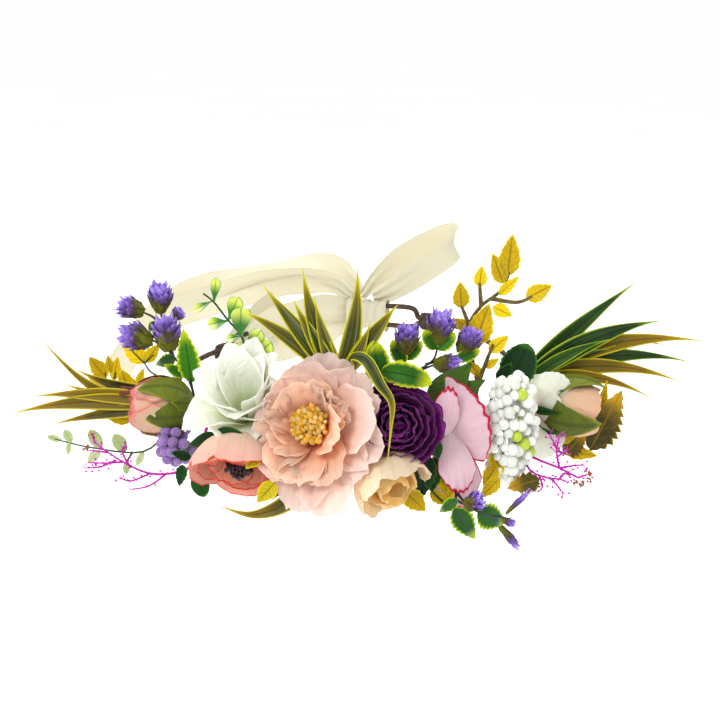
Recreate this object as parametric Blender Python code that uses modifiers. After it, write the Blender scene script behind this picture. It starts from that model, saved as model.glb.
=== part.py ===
"""Flower crown: a paper-wrapped wire hoop that carries artificial flowers and foliage
on its front half and is tied at the back with a ribbon.

The hoop lies in the XY plane with its middle at the origin, its front towards -Y and
+Z up.  Ring angles are in degrees from the front, positive towards +X.
"""
import math

import bmesh
import bpy
from mathutils import Matrix, Vector

MM = 0.001
WELD = 0.001 * MM

# hoop wire and the tape that binds every stem to it
HOOP_RADIUS = 95 * MM
WIRE_RADIUS = 1.5 * MM
TAPE_WALL = 2.0 * MM
TAPE_END_ANGLE = 73.0
BEND_ANGLE = 78.0
GAP = 0.3 * MM
TAPE_RADIUS = WIRE_RADIUS + GAP + TAPE_WALL

# bare arms, each ending in a bound eye
LEFT_ARM_RISE = 1 * MM
RIGHT_ARM_RISE = 13 * MM
LEFT_EYE_ANGLE = 131.0
RIGHT_EYE_ANGLE = 154.0
LEFT_EYE_LENGTH = 20 * MM
RIGHT_EYE_LENGTH = 33 * MM
EYE_HALF_HEIGHT = 5.7 * MM
BINDING_LENGTH = 9 * MM
BINDING_WALL = 1.4 * MM

# ribbon
RIBBON_WIDTH = 19 * MM
RIBBON_THICKNESS = 0.6 * MM
RIBBON_AT_EYE = 7 * MM
KNOT_LENGTH = 24 * MM
KNOT_WALL = 2.0 * MM
KNOT_SLOT_HALF = 2.6 * MM

# foliage and petals
PETAL_THICKNESS = 0.8 * MM
LEAF_THICKNESS = 0.8 * MM
STEM_RADIUS = 0.9 * MM
STEM_GAP = 0.9 * MM  # from the tape to the middle of a stem's slanting end
FLORET_HOLE = 2.2 * MM
STALK_RADIUS = 1.3 * MM


# ---------------------------------------------------------------- scene and materials

for old in list(bpy.data.objects):
    bpy.data.objects.remove(old, do_unlink=True)

crown = bpy.data.collections.new("flower_crown")
helpers = bpy.data.collections.new("flower_crown_cutters")
bpy.context.scene.collection.children.link(crown)
bpy.context.scene.collection.children.link(helpers)


def material(name, colour, roughness=0.7):
    """A Principled material with one colour."""
    made = bpy.data.materials.new(name)
    made.use_nodes = True
    shader = made.node_tree.nodes["Principled BSDF"]
    shader.inputs["Base Color"].default_value = (*colour, 1.0)
    shader.inputs["Roughness"].default_value = roughness
    shader.inputs["Metallic"].default_value = 0.0
    return made


PAPER = material("brown_paper", (0.08, 0.045, 0.03), 0.9)
TAPE = material("floral_tape", (0.07, 0.12, 0.04), 0.85)
RIBBON = material("cream_ribbon", (0.85, 0.79, 0.6), 0.5)
PEACH = material("peach_petal", (0.85, 0.5, 0.4))
ORANGE = material("orange_petal", (0.85, 0.4, 0.2))
WHITE = material("white_petal", (0.8, 0.83, 0.75))
CORAL = material("coral_petal", (0.78, 0.3, 0.22))
PLUM = material("plum_petal", (0.09, 0.005, 0.07))
CREAM = material("cream_petal", (0.85, 0.6, 0.38))
PINK = material("pink_petal", (0.8, 0.45, 0.52))
YELLOW = material("yellow_leaf", (0.8, 0.55, 0.02))
DARK = material("dark_stamen", (0.1, 0.02, 0.02))
BERRY = material("white_berry", (0.82, 0.84, 0.78), 0.4)
LILAC = material("lilac_berry", (0.24, 0.14, 0.4))
LAVENDER = material("lavender_bud", (0.25, 0.12, 0.5))
GREEN = material("green_leaf", (0.05, 0.2, 0.03))
OLIVE = material("olive_leaf", (0.2, 0.2, 0.03))
SAGE = material("sage_leaf", (0.3, 0.4, 0.2))
MAGENTA = material("magenta_fern", (0.4, 0.02, 0.25))
BROWN = material("brown_leaf", (0.2, 0.12, 0.03))


# ---------------------------------------------------------------- placing on the hoop

def ring_point(angle, height=0.0, radius=HOOP_RADIUS):
    """A point over the hoop at a ring angle in degrees."""
    turn = math.radians(angle)
    return Vector((radius * math.sin(turn), -radius * math.cos(turn), height))


def along_ring(angle):
    """The unit direction in which the ring angle grows."""
    turn = math.radians(angle)
    return Vector((math.cos(turn), math.sin(turn), 0.0))


def millimetres(point):
    """A vector from coordinates in millimetres."""
    return Vector(point) * MM


def offset_from_hoop(angle, point):
    """A point given in millimetres from the hoop's centreline at a ring angle."""
    return ring_point(angle) + millimetres(point)


def frame_along(base, direction, up=Vector((0.0, 0.0, 1.0))):
    """A placement with local +Z along direction and local +Y as near to up as it gets."""
    z_axis = direction.normalized()
    x_axis = up.cross(z_axis).normalized()
    y_axis = z_axis.cross(x_axis)
    rotation = Matrix((x_axis, y_axis, z_axis)).transposed().to_4x4()
    return Matrix.Translation(base) @ rotation


# ---------------------------------------------------------------- making pieces

def place(name, mesh, look, matrix=Matrix(), collection=crown):
    """Link a mesh as a named object with one material."""
    thing = bpy.data.objects.new(name, mesh)
    thing.matrix_world = matrix
    collection.objects.link(thing)
    mesh.materials.clear()
    mesh.materials.append(look)
    if collection is helpers:
        thing.hide_render = True
        thing.display_type = "WIRE"
    return thing


def grid_mesh(name, columns, rows, shape, closed=False):
    """A grid whose vertices are moved to shape(u, v), with u and v from 0 to 1."""
    sheet = bmesh.new()
    bmesh.ops.create_grid(sheet, x_segments=columns, y_segments=rows, size=1.0)
    for vertex in sheet.verts:
        u = (vertex.co.x + 1) / 2
        v = (vertex.co.y + 1) / 2
        vertex.co = shape(u, v)
    if closed:
        bmesh.ops.remove_doubles(sheet, verts=sheet.verts, dist=WELD)
    mesh = bpy.data.meshes.new(name)
    sheet.to_mesh(mesh)
    sheet.free()
    return mesh


def thicken(thing, thickness):
    """Give a sheet its thickness, half to each side."""
    solid = thing.modifiers.new("thickness", "SOLIDIFY")
    solid.thickness = thickness
    solid.offset = 0.0
    return thing


def welded_mesh(curve):
    """The closed mesh that a curve's bevel or extrusion makes."""
    guide = bpy.data.objects.new(curve.name + "_guide", curve)
    helpers.objects.link(guide)
    bpy.context.view_layer.update()
    seen = guide.evaluated_get(bpy.context.evaluated_depsgraph_get())
    mesh = bpy.data.meshes.new_from_object(seen)
    weld = bmesh.new()
    weld.from_mesh(mesh)
    bmesh.ops.remove_doubles(weld, verts=weld.verts, dist=WELD)
    weld.to_mesh(mesh)
    weld.free()
    bpy.data.objects.remove(guide, do_unlink=True)
    return mesh


def tube(name, points, radius, look, collection=crown, taper=1.0, resolution=2):
    """A round wire through points, as a welded mesh."""
    curve = bpy.data.curves.new(name, "CURVE")
    curve.dimensions = "3D"
    curve.bevel_depth = radius
    curve.bevel_resolution = resolution
    curve.use_fill_caps = True
    wire = curve.splines.new("POLY")
    wire.points.add(len(points) - 1)
    last = len(points) - 1
    for index, point in enumerate(points):
        wire.points[index].co = (*point, 1.0)
        wire.points[index].radius = 1 + (taper - 1) * index / last
    return place(name, welded_mesh(curve), look, Matrix(), collection)


def smooth_path(points, steps=4):
    """Points of a smooth curve through the given points."""
    stops = [points[0], *points, points[-1]]
    path = []
    for before, start, end, after in zip(stops, stops[1:], stops[2:], stops[3:]):
        for step in range(steps):
            t = step / steps
            path.append(
                0.5 * (
                    2 * start
                    + (end - before) * t
                    + (2 * before - 5 * start + 4 * end - after) * t * t
                    + (3 * start - before - 3 * end + after) * t * t * t
                )
            )
    path.append(points[-1])
    return path


def turned(name, profile, look, matrix, steps=12):
    """A solid turned about local Z from (radius, height) points, listed top to bottom."""
    outline = bmesh.new()
    stations = [outline.verts.new((radius, 0.0, height)) for radius, height in profile]
    for start, end in zip(stations, stations[1:]):
        outline.edges.new((start, end))
    mesh = bpy.data.meshes.new(name)
    outline.to_mesh(mesh)
    outline.free()
    thing = place(name, mesh, look, matrix)
    screw = thing.modifiers.new("turn", "SCREW")
    screw.steps = steps
    screw.render_steps = steps
    screw.use_merge_vertices = True
    screw.merge_threshold = 0.00001
    return thing


def ellipsoid(name, centre, half_axes, look, matrix=Matrix(), collection=helpers, detail=8):
    """A rounded bead: a sphere scaled along its local axes."""
    ball = bmesh.new()
    bmesh.ops.create_uvsphere(ball, u_segments=detail, v_segments=detail - 2, radius=1.0)
    bmesh.ops.scale(ball, vec=half_axes, verts=ball.verts)
    bmesh.ops.transform(ball, matrix=matrix, verts=ball.verts)
    bmesh.ops.translate(ball, vec=centre, verts=ball.verts)
    mesh = bpy.data.meshes.new(name)
    ball.to_mesh(mesh)
    ball.free()
    return place(name, mesh, look, collection=collection)


def leaf(name, base, tip, width, look, droop=0.0, roll=0.0, fullest=0.4):
    """A pointed blade from base to tip.

    droop bends its middle up by that share of its length, roll turns it about its
    length in degrees, and fullest is where along the length it is widest.
    """
    span = tip - base
    length = span.length
    matrix = frame_along(base, span) @ Matrix.Rotation(math.radians(roll), 4, "Z")
    swell = math.log(0.5) / math.log(fullest)

    def shape(u, v):
        half = width / 2 * (0.12 + 0.88 * math.sin(math.pi * v ** swell) ** 0.8)
        if v > 0.999:
            half = 0.04 * width
        across = (2 * u - 1) * half
        fold = 0.18 * half * abs(2 * u - 1)
        bow = droop * length * 4 * v * (1 - v)
        return Vector((across, fold + bow, v * length))

    mesh = grid_mesh(name, 2, 4, shape)
    return thicken(place(name, mesh, look, matrix, helpers), LEAF_THICKNESS)


waiting_joins = []


def unite(trunk, pieces):
    """Note that the pieces are joined to the trunk once every piece is in place."""
    waiting_joins.append((trunk, pieces))
    return trunk


def join_pieces(trunk, pieces):
    """Join the pieces to the trunk in one closed body."""
    group = bpy.data.collections.new(trunk.name + "_pieces")
    helpers.children.link(group)
    for piece in pieces:
        helpers.objects.unlink(piece)
        group.objects.link(piece)
    join = trunk.modifiers.new("join", "BOOLEAN")
    join.operation = "UNION"
    join.operand_type = "COLLECTION"
    join.collection = group
    join.solver = "EXACT"


def floret_cup(name, matrix, radius, depth, lobes, look, lift=0.0, notch=0.25,
               wave=0.0, bowl=1.6, squeeze=1.0, around=4, rings=3, collection=crown):
    """One whorl of petals: a lobed cup that opens along local +Z, holed at its middle.

    squeeze narrows it along local X, lift raises it along local Z.
    """
    columns = lobes * around

    def shape(u, v):
        angle = 2 * math.pi * u
        dip = 1 - notch * v * v * (1 - abs(math.sin(lobes * angle / 2)) ** 0.7)
        reach = FLORET_HOLE + (radius - FLORET_HOLE) * v * dip
        height = lift + depth * (reach / radius) ** bowl
        height += wave * v * v * math.cos(lobes * angle)
        return Vector((reach * math.cos(angle) * squeeze, reach * math.sin(angle), height))

    mesh = grid_mesh(name, columns, rings, shape, closed=True)
    return thicken(place(name, mesh, look, matrix, collection), PETAL_THICKNESS)


# ---------------------------------------------------------------- flowers

class Flower:
    """Where one flower head stands: its stem starts on the tape and runs along facing."""

    def __init__(self, name, angle, facing, stem):
        direction = Vector(facing).normalized()
        self.name = name
        self.stem = stem
        foot = ring_point(angle) + direction * (TAPE_RADIUS + GAP)
        self.seat = frame_along(foot + direction * stem, direction)

    def calyx(self, look, cup=5 * MM, height=4 * MM):
        """The green cup under the petals with the stem that goes to the tape."""
        return self.stem_cup("calyx", look, cup, height, -PETAL_THICKNESS / 2 - GAP)

    def stem_cup(self, part, look, cup, height, top):
        """A stem from the tape that widens into a cup with its flat top at a height."""
        profile = [
            (0.0, top),
            (cup, top),
            (cup * 0.8, top - height * 0.5),
            (STEM_RADIUS, top - height),
            (STEM_RADIUS, -self.stem),
            (0.0, -self.stem),
        ]
        return turned(f"{self.name}_{part}", profile, look, self.seat, steps=10)

    def petals(self, part, radius, depth, lobes, look, **shape):
        """One whorl of petals."""
        return floret_cup(f"{self.name}_{part}", self.seat, radius, depth, lobes, look, **shape)

    def stamens(self, part, radius, bottom, height, look):
        """The centre: a domed head on a stalk that passes the petals' holes."""
        profile = [
            (0.0, bottom + height),
            (radius * 0.6, bottom + height * 0.85),
            (radius, bottom + height * 0.35),
            (radius * 0.8, bottom),
            (STALK_RADIUS, bottom),
            (STALK_RADIUS, 0.0),
            (0.0, 0.0),
        ]
        return turned(f"{self.name}_{part}", profile, look, self.seat, steps=12)


def make_peony():
    """The largest flower, three layers round golden stamens."""
    peony = Flower("peony", -7.5, (-0.1, -1.0, 0.4), 8 * MM)
    peony.calyx(GREEN, cup=7 * MM)
    peony.petals("outer_petals", 26 * MM, 9 * MM, 6, PEACH, notch=0.18, wave=1 * MM)
    peony.petals("inner_petals", 19 * MM, 11 * MM, 6, ORANGE, lift=3 * MM, notch=0.2, wave=1 * MM, rings=2)
    peony.stamens("stamens", 7 * MM, 7 * MM, 6 * MM, YELLOW)


def make_white_flower():
    """A white flower with pointed folded petals that faces up and out."""
    flower = Flower("white_flower", -31, (-5, -16.6, 24), 12 * MM)
    flower.calyx(GREEN)
    flower.petals("outer_petals", 20 * MM, 11 * MM, 6, WHITE, notch=0.3)
    flower.petals("inner_petals", 12 * MM, 12 * MM, 5, WHITE, lift=3 * MM, notch=0.25, rings=2)


def make_coral_ranunculus():
    """A coral flower that faces down and out, with dark stamens."""
    flower = Flower("coral_ranunculus", -27, (-14, -23.4, -11), 11 * MM)
    flower.calyx(GREEN)
    flower.petals("outer_petals", 18 * MM, 13 * MM, 5, CORAL, notch=0.12, bowl=1.9)
    flower.petals("inner_petals", 13 * MM, 12 * MM, 5, ORANGE, lift=3 * MM, notch=0.12, bowl=1.9, rings=2)
    flower.stamens("stamens", 4 * MM, 7 * MM, 5 * MM, DARK)


def make_purple_ranunculus():
    """A plum ranunculus, two deep whorls round a closed heart."""
    flower = Flower("purple_ranunculus", 14.5, (4.5, -22.8, 14), 10 * MM)
    flower.calyx(GREEN)
    flower.petals("outer_petals", 14.5 * MM, 12 * MM, 6, PLUM, notch=0.08, bowl=2.2)
    flower.petals("inner_petals", 10.5 * MM, 12 * MM, 6, PLUM, lift=3 * MM, notch=0.08, bowl=2.2, rings=2)
    flower.stamens("heart", 4.5 * MM, 8 * MM, 7 * MM, PLUM)


def make_cream_rose():
    """A small cream rose under the plum flower."""
    flower = Flower("cream_rose", 10, (3.5, -27.4, -19), 15 * MM)
    flower.calyx(GREEN)
    flower.petals("petals", 13 * MM, 12 * MM, 5, CREAM, notch=0.08, bowl=2.2)
    flower.stamens("heart", 6 * MM, 6 * MM, 7 * MM, ORANGE)


def make_pink_flower():
    """A pink flower squeezed upright between its neighbours, with crinkled rims."""
    flower = Flower("pink_flower", 28.5, (10.4, -23, 3), 9 * MM)
    flower.calyx(GREEN)
    flower.petals("outer_petals", 25 * MM, 10 * MM, 5, PINK, notch=0.2, squeeze=0.48)
    flower.petals("inner_petals", 17 * MM, 11 * MM, 4, PINK, lift=4 * MM, notch=0.2, squeeze=0.4, rings=2)


def make_hydrangea():
    """A white floret with four round petals, squeezed upright."""
    flower = Flower("hydrangea", 61, (16, -6, 1), 8 * MM)
    stem = flower.stem_cup("petals", WHITE, 3.5 * MM, 3 * MM, 1 * MM)
    petals = flower.petals("whorl", 16 * MM, 6 * MM, 4, WHITE, notch=0.3, squeeze=0.45,
                           collection=helpers)
    unite(stem, [petals])


def make_bud(name, angle, facing, stem, radius, length):
    """A closed bud in a cup of pointed sepals."""
    bud = Flower(name, angle, facing, stem)
    lift = 1 * MM
    cup = bud.stem_cup("sepals", OLIVE, 5 * MM, 4 * MM, lift + 0.15 * MM)
    sepals = bud.petals("whorl", radius, length * 0.62, 5, OLIVE, lift=lift, notch=0.3, bowl=2.6,
                        rings=4, collection=helpers)
    unite(cup, [sepals])
    heart = 0.66 * radius
    base = lift + PETAL_THICKNESS + 2.4 * MM
    profile = [
        (0.0, length),
        (heart * 0.45, length * 0.93),
        (heart * 0.9, length * 0.72),
        (heart, length * 0.5),
        (heart * 0.75, base + 3.0 * MM),
        (heart * 0.4, base),
        (0.0, base),
    ]
    turned(name + "_petals", profile, PEACH, bud.seat, steps=12)


def make_berries(name, angle, facing, stem, half_axes, berry, count, look):
    """A head of round berries on one stem: beads spread evenly over an oval core."""
    head = Flower(name, angle, facing, stem)
    core = Vector(half_axes) - Vector((berry, berry, berry)) * 0.8
    stalk = tube(name, [head.seat @ Vector((0, 0, -stem)), head.seat @ Vector((0, 0, core.z))],
                 STEM_RADIUS, look)
    turn = head.seat.to_3x3().to_4x4()
    centre = head.seat @ Vector((0, 0, core.z))
    beads = [ellipsoid(name + "_core", centre, core, look, turn)]
    golden = math.pi * (3 - math.sqrt(5))
    for index in range(count):
        height = 1 - 1.6 * (index + 0.5) / count
        around = golden * index
        level = math.sqrt(1 - height * height)
        spot = Vector((level * math.cos(around), level * math.sin(around), height))
        place_at = head.seat @ (Vector((spot.x * core.x, spot.y * core.y, spot.z * core.z + core.z)))
        beads.append(ellipsoid(f"{name}_bead_{index}", place_at, (berry, berry, berry), look, detail=6))
    unite(stalk, beads)


# ---------------------------------------------------------------- foliage

def spray(name, angle, route, leaves, look, beads=(), radius=STEM_RADIUS, side=(0, 0, 1)):
    """A sprig bound to the tape: one main stem with blades and beads on it.

    Points are in millimetres from the hoop's centreline at the ring angle.  The stem leaves
    the tape towards side.  leaves holds (share, tip, width, droop, roll) and beads holds
    (share, bead centre, radius, half length); share is how far along the stem they start.
    """
    start = ring_point(angle) + Vector(side).normalized() * (TAPE_RADIUS + STEM_GAP)
    points = [start] + [offset_from_hoop(angle, point) for point in route]
    path = smooth_path(points, 2)
    trunk = tube(name, path, radius, look, taper=0.8, resolution=1)

    def on_stem(share):
        return path[round(share * (len(path) - 1))]

    def rooted(share, end, index):
        """Where a piece towards end starts, a little further through the stem than the last."""
        foot = on_stem(share)
        return foot - (end - foot).normalized() * (0.2 + 0.13 * index) * MM

    pieces = []
    for index, (share, tip, width, droop, roll) in enumerate(leaves):
        end = offset_from_hoop(angle, tip)
        pieces.append(
            leaf(f"{name}_blade_{index}", rooted(share, end, index), end, width * MM, look, droop, roll)
        )
    for index, (share, centre, thick, half_length) in enumerate(beads):
        middle = offset_from_hoop(angle, centre)
        foot = rooted(share, middle, index + len(leaves))
        pieces.append(tube(f"{name}_twig_{index}", [foot, middle], radius * 0.8, look, helpers,
                           resolution=1))
        turn = frame_along(Vector(), middle - foot)
        half_axes = (thick * MM, thick * MM, half_length * MM)
        pieces.append(ellipsoid(f"{name}_bead_{index}", middle, half_axes, look, turn, detail=6))
    return unite(trunk, pieces)


def make_left_foliage():
    """Everything that leaves the hoop on its left side."""
    spray("left_grass", -70, [(-8, 5, 7), (-14, 9, 6)], [
        (0.75, (-77, 16, 27), 7, 0.03, 20),
        (0.75, (-62, 22, 10), 6, 0.03, 0),
        (1.0, (-66, 13, 2), 8, 0.05, 10),
        (1.0, (-84, 12, -5), 9, 0.06, 0),
        (1.0, (-95, 12, -13), 7, 0.06, 15),
        (0.75, (-72, 8, -18), 7, 0.05, 10),
    ], OLIVE, side=(-1, 0, 1))
    spray("left_yellow_leaves", -76, [(-6, 14, 9), (-24, 20, 15), (-44, 22, 17)], [
        (0.5, (-26, 20, 28), 9, 0.05, 80),
        (0.67, (-36, 24, 28), 7, 0.05, 60),
        (0.83, (-50, 20, 28), 6, 0.05, 70),
        (1.0, (-56, 26, 16), 6, 0.05, 60),
        (0.83, (-38, 28, 6), 7, 0.05, 80),
    ], YELLOW, side=(-0.6, 1, 1))
    spray("left_lavender", -60, [(-1, 6, 14), (-8, 12, 26), (-18, 16, 36)], [
        (0.5, (-3, 6, 36), 9, 0.0, 70),
        (0.83, (-30, 14, 31), 7, 0.0, 70),
        (0.17, (-10, -14, 26), 3, 0.0, 0),
    ], LAVENDER, beads=[
        (1.0, (-33, 18, 49), 5.5, 8),
        (0.83, (-20, 22, 53), 6, 9),
        (0.67, (-28, 8, 38), 7, 9),
        (0.5, (-14, 8, 42), 6, 8),
    ])
    spray("left_eucalyptus", -67, [(-8, 2, -12), (-26, 5, -20), (-66, 4, -21)], [
        (0.5, (-26, 8, -9), 7, 0.0, 80),
        (0.67, (-33, 3, -32), 7, 0.0, 80),
        (0.83, (-52, 3, -12), 6, 0.0, 80),
        (0.83, (-58, 5, -32), 6, 0.0, 80),
        (1.0, (-74, 5, -20), 6, 0.0, 80),
    ], SAGE, side=(-0.9, -0.3, -1))
    spray("left_fern", -50, [(-3, -8, -10), (-12, -21, -22), (-34, -23, -30), (-62, -14, -30)], [],
          MAGENTA, beads=[
        (0.75, (-44, -28, -38), 1.6, 2.2),
        (0.75, (-30, -30, -37), 1.6, 2.2),
        (0.88, (-56, -24, -36), 1.6, 2.2),
        (0.88, (-58, -20, -23), 1.6, 2.2),
        (1.0, (-68, -10, -27), 1.6, 2.2),
    ], side=(-0.4, -0.6, -1), radius=0.8 * MM)
    spray("lower_left_leaf", -43, [(-4, -8, -10), (-9, -18, -20)], [
        (1.0, (-19, -24, -32), 12, 0.08, 30),
        (1.0, (-2, -24, -30), 9, 0.05, 0),
    ], GREEN, side=(-0.3, -0.4, -1))


def make_top_foliage():
    """The sprigs that stand up behind the flower heads."""
    spray("eucalyptus_sprig", -33, [(1, 4, 20), (-1, 4, 40), (-6, 2, 56), (-13, 0, 70)], [
        (0.38, (11, 3, 42), 10, 0.0, 80),
        (0.5, (-7, -2, 58), 13, 0.1, 80),
        (0.62, (-17, 2, 58), 8, 0.0, 80),
        (0.75, (4, 0, 68), 8, 0.0, 80),
        (0.88, (-24, 0, 72), 7, 0.0, 80),
        (1.0, (-8, 0, 84), 8, 0.0, 80),
    ], GREEN)
    spray("top_grass", -1, [(0, 1, 16), (0, 1, 26)], [
        (0.75, (-32, 4, 68), 7, 0.03, 20),
        (1.0, (-19, 2, 88), 9, 0.03, 10),
        (1.0, (5, 3, 84), 9, 0.03, 0),
        (0.75, (24, 1, 66), 8, 0.03, -15),
        (0.75, (-42, -2, 56), 6, 0.03, 30),
        (1.0, (-9, -3, 58), 8, 0.02, 0),
        (0.75, (14, -3, 54), 7, 0.02, 0),
    ], OLIVE)
    spray("drooping_leaf", 4.5, [(1, 0, 18), (1, -6, 34), (4, -26, 38)], [
        (1.0, (10, -43, 4), 9, 0.22, 0),
    ], OLIVE, side=(0, 0.2, 1))
    spray("scalloped_leaves", 8.5, [(1, 2, 16), (4, 1, 24)], [
        (0.5, (-2, 5, 46), 12, 0.05, 10),
        (1.0, (22, -3, 36), 12, 0.08, 20),
    ], GREEN)
    spray("right_lavender", 18.5, [(1, 3, 14), (6, 8, 26), (16, 14, 36)], [
        (0.33, (-8, 4, 30), 8, 0.0, 30),
        (1.0, (30, 14, 32), 7, 0.0, 40),
    ], LAVENDER, beads=[
        (0.5, (-2, 9, 45), 6, 9),
        (0.83, (16, 16, 50), 6.5, 9),
        (0.83, (30, 22, 40), 5, 8),
    ])
    spray("woven_leaf", 24.5, [(3, -1, 10)], [
        (0.5, (13, -1, 38), 19, 0.04, 10),
        (0.5, (22, 0, 24), 12, 0.04, 20),
    ], GREEN)
    spray("yellow_branch", 38.5, [(4, 6, 24), (6, 13, 40), (8, 14, 54), (18, 15, 66), (21, 14, 76)], [
        (0.6, (15, 9, 42), 13, 0.05, 0),
        (0.6, (-2, 14, 66), 7, 0.0, 20),
        (0.7, (26, 14, 56), 8, 0.0, 60),
        (0.8, (40, 14, 64), 8, 0.0, 60),
        (0.8, (8, 15, 78), 7, 0.0, 30),
        (1.0, (24, 13, 94), 9, 0.0, 0),
        (0.5, (-4, 12, 50), 8, 0.0, 30),
    ], YELLOW)
    spray("round_leaf", 48.5, [(4, 2, 12)], [
        (1.0, (16, 6, 37), 17, 0.05, 10),
    ], GREEN)


def make_right_foliage():
    """Everything that leaves the hoop on its right side."""
    spray("right_grass", 68.5, [(3, 2, 11), (8, 4, 16)], [
        (0.75, (70, 35, 50), 8, 0.03, 20),
        (0.75, (72, 28, 36), 7, 0.03, 20),
        (1.0, (100, 18, 30), 8, 0.03, 10),
        (1.0, (92, 22, 15), 8, 0.05, 0),
        (1.0, (91, 12, 10), 7, 0.06, 0),
        (1.0, (62, 6, 18), 7, 0.06, 0),
    ], OLIVE, side=(0.2, 0, 1))
    spray("serrated_leaves", 67, [(8, -6, -10), (22, -16, -17)], [
        (0.75, (36, -26, -26), 15, 0.05, 60),
        (1.0, (54, -10, -4), 15, 0.06, 60),
    ], BROWN, side=(1, -0.5, -1))
    spray("right_fern", 52.5, [(11, -3, -10), (24, -12, -18)], [], MAGENTA, beads=[
        (0.5, (27, -26, -2), 1.6, 2.4),
        (1.0, (40, -24, -6), 1.6, 2.4),
        (1.0, (44, -26, -20), 1.8, 2.6),
        (1.0, (52, -16, -34), 2.0, 2.8),
        (1.0, (40, -16, -38), 1.8, 2.6),
    ], side=(0.8, -0.6, -1), radius=0.8 * MM)
    spray("lower_lavender", 34, [(2, -5, -12), (9, -20, -30)], [
        (0.75, (4, -42, -31), 13, 0.06, 0),
        (1.0, (23, -39, -31), 12, 0.06, 0),
        (0.75, (35, -38, -25), 6, 0.0, 0),
        (1.0, (36, -44, -48), 6, 0.0, 0),
    ], LAVENDER, side=(0.1, -0.3, -1))
    spray("lower_leaves", 19, [(2, -6, -14), (4, -15, -28)], [
        (1.0, (-1, -29, -38), 10, 0.05, 0),
        (1.0, (9, -26, -37), 8, 0.05, 0),
        (0.75, (14, -25, -24), 9, 0.05, 0),
    ], YELLOW, side=(0.1, -0.2, -1))
    spray("brown_leaf", 49, [(5, -4, -14), (12, -12, -32)], [
        (1.0, (24, -27, -37), 12, 0.05, 0),
        (1.0, (4, -32, -33), 9, 0.05, 0),
    ], BROWN, side=(0.3, -0.2, -1))
    spray("lower_curved_leaf", -17.5, [(-1, -8, -14), (-2, -20, -31)], [
        (1.0, (-40, -28, -34), 8, -0.05, 0),
        (1.0, (8, -30, -32), 8, -0.05, 0),
    ], OLIVE, side=(0, -0.3, -1))


# ---------------------------------------------------------------- hoop, arms and eyes

def arm_height(share, rise):
    """How far an arm stands over the hoop's plane, at a share of its way to the eye."""
    return rise * share * share * (3 - 2 * share)


def make_hoop():
    """The front half of the hoop wire and the tape round it."""
    step = 6.0
    end_gap = math.degrees(GAP / HOOP_RADIUS)
    count = round(2 * (BEND_ANGLE - end_gap) / step)
    angles = [(BEND_ANGLE - end_gap) * (2 * i / count - 1) for i in range(count + 1)]
    tube("front_hoop_wire", [ring_point(angle) for angle in angles], WIRE_RADIUS, PAPER)

    columns = 24

    def shape(u, v):
        angle = TAPE_END_ANGLE * (2 * u - 1)
        turn = 2 * math.pi * v
        reach = WIRE_RADIUS + GAP + TAPE_WALL / 2
        centre = ring_point(angle)
        out = ring_point(angle).normalized()
        return centre + (out * math.cos(turn) + Vector((0, 0, math.sin(turn)))) * reach

    mesh = grid_mesh("garland_tape", columns, 8, shape, closed=True)
    thicken(place("garland_tape", mesh, TAPE), TAPE_WALL)


def make_arm(side, eye_angle, rise, eye_length):
    """One bare arm: the wire from the bend to its eye, and the binding that closes the eye.

    Returns where the eye starts and the direction in which it runs.
    """
    sign = -1 if side == "left" else 1
    start = BEND_ANGLE + math.degrees(GAP / HOOP_RADIUS)
    steps = 12
    route = []
    for index in range(steps + 1):
        share = index / steps
        angle = start + (eye_angle - start) * share
        route.append(ring_point(sign * angle, arm_height(share, rise)))
    middle = eye_angle + math.degrees(eye_length / 2 / HOOP_RADIUS)
    along = along_ring(sign * middle) * sign
    origin = route[-1]
    bar = EYE_HALF_HEIGHT

    def in_eye(run, height):
        return origin + along * run + Vector((0, 0, height))

    spread = 5 * MM
    straight = eye_length - bar
    upper = [in_eye(spread, bar), in_eye(straight, bar)]
    lower = [in_eye(straight, -bar), in_eye(spread, -bar), in_eye(0.0, -2 * WIRE_RADIUS - GAP)]
    arc = []
    for index in range(1, 8):
        turn = math.pi / 2 - math.pi * index / 8
        arc.append(in_eye(straight + bar * math.cos(turn), bar * math.sin(turn)))
    bound = along_ring(sign * (eye_angle - math.degrees(BINDING_LENGTH / 2 / HOOP_RADIUS))) * sign
    under = Vector((0, 0, -2 * WIRE_RADIUS - GAP))
    tail = [origin - bound * (BINDING_LENGTH - 1 * MM) + under]
    tube(f"{side}_arm_wire", route + upper + arc + lower + tail, WIRE_RADIUS, PAPER)

    # the binding is a flat sleeve round the wire and its turned-back end
    half_tall = 2 * WIRE_RADIUS + 2 * GAP
    centre = origin - bound * (BINDING_LENGTH / 2 + 1 * MM) + under / 2
    sleeve(f"{side}_eye_binding", centre, bound, BINDING_LENGTH, WIRE_RADIUS + 2 * GAP,
           half_tall, BINDING_WALL, PAPER)
    return origin, along


def sleeve(name, centre, along, length, half_deep, half_tall, wall, look):
    """A flat tube with rounded ends: outline and hole drawn in 2D, extruded along its length."""
    curve = bpy.data.curves.new(name, "CURVE")
    curve.dimensions = "2D"
    curve.fill_mode = "BOTH"
    curve.extrude = length / 2
    for deep, tall in ((half_deep + wall, half_tall + wall), (half_deep, half_tall)):
        outline = curve.splines.new("POLY")
        corner = min(deep, tall)
        points = []
        for quarter, (side_x, side_y) in enumerate(((1, 1), (-1, 1), (-1, -1), (1, -1))):
            for step in range(4):
                turn = math.pi / 2 * (quarter + step / 3)
                points.append((side_x * (deep - corner) + corner * math.cos(turn),
                               side_y * (tall - corner) + corner * math.sin(turn)))
        distinct = [p for i, p in enumerate(points) if math.dist(p, points[i - 1]) > 1e-7]
        outline.points.add(len(distinct) - 1)
        outline.use_cyclic_u = True
        for index, (x, y) in enumerate(distinct):
            outline.points[index].co = (x, y, 0.0, 1.0)
    return place(name, welded_mesh(curve), look, frame_along(centre, along))


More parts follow.
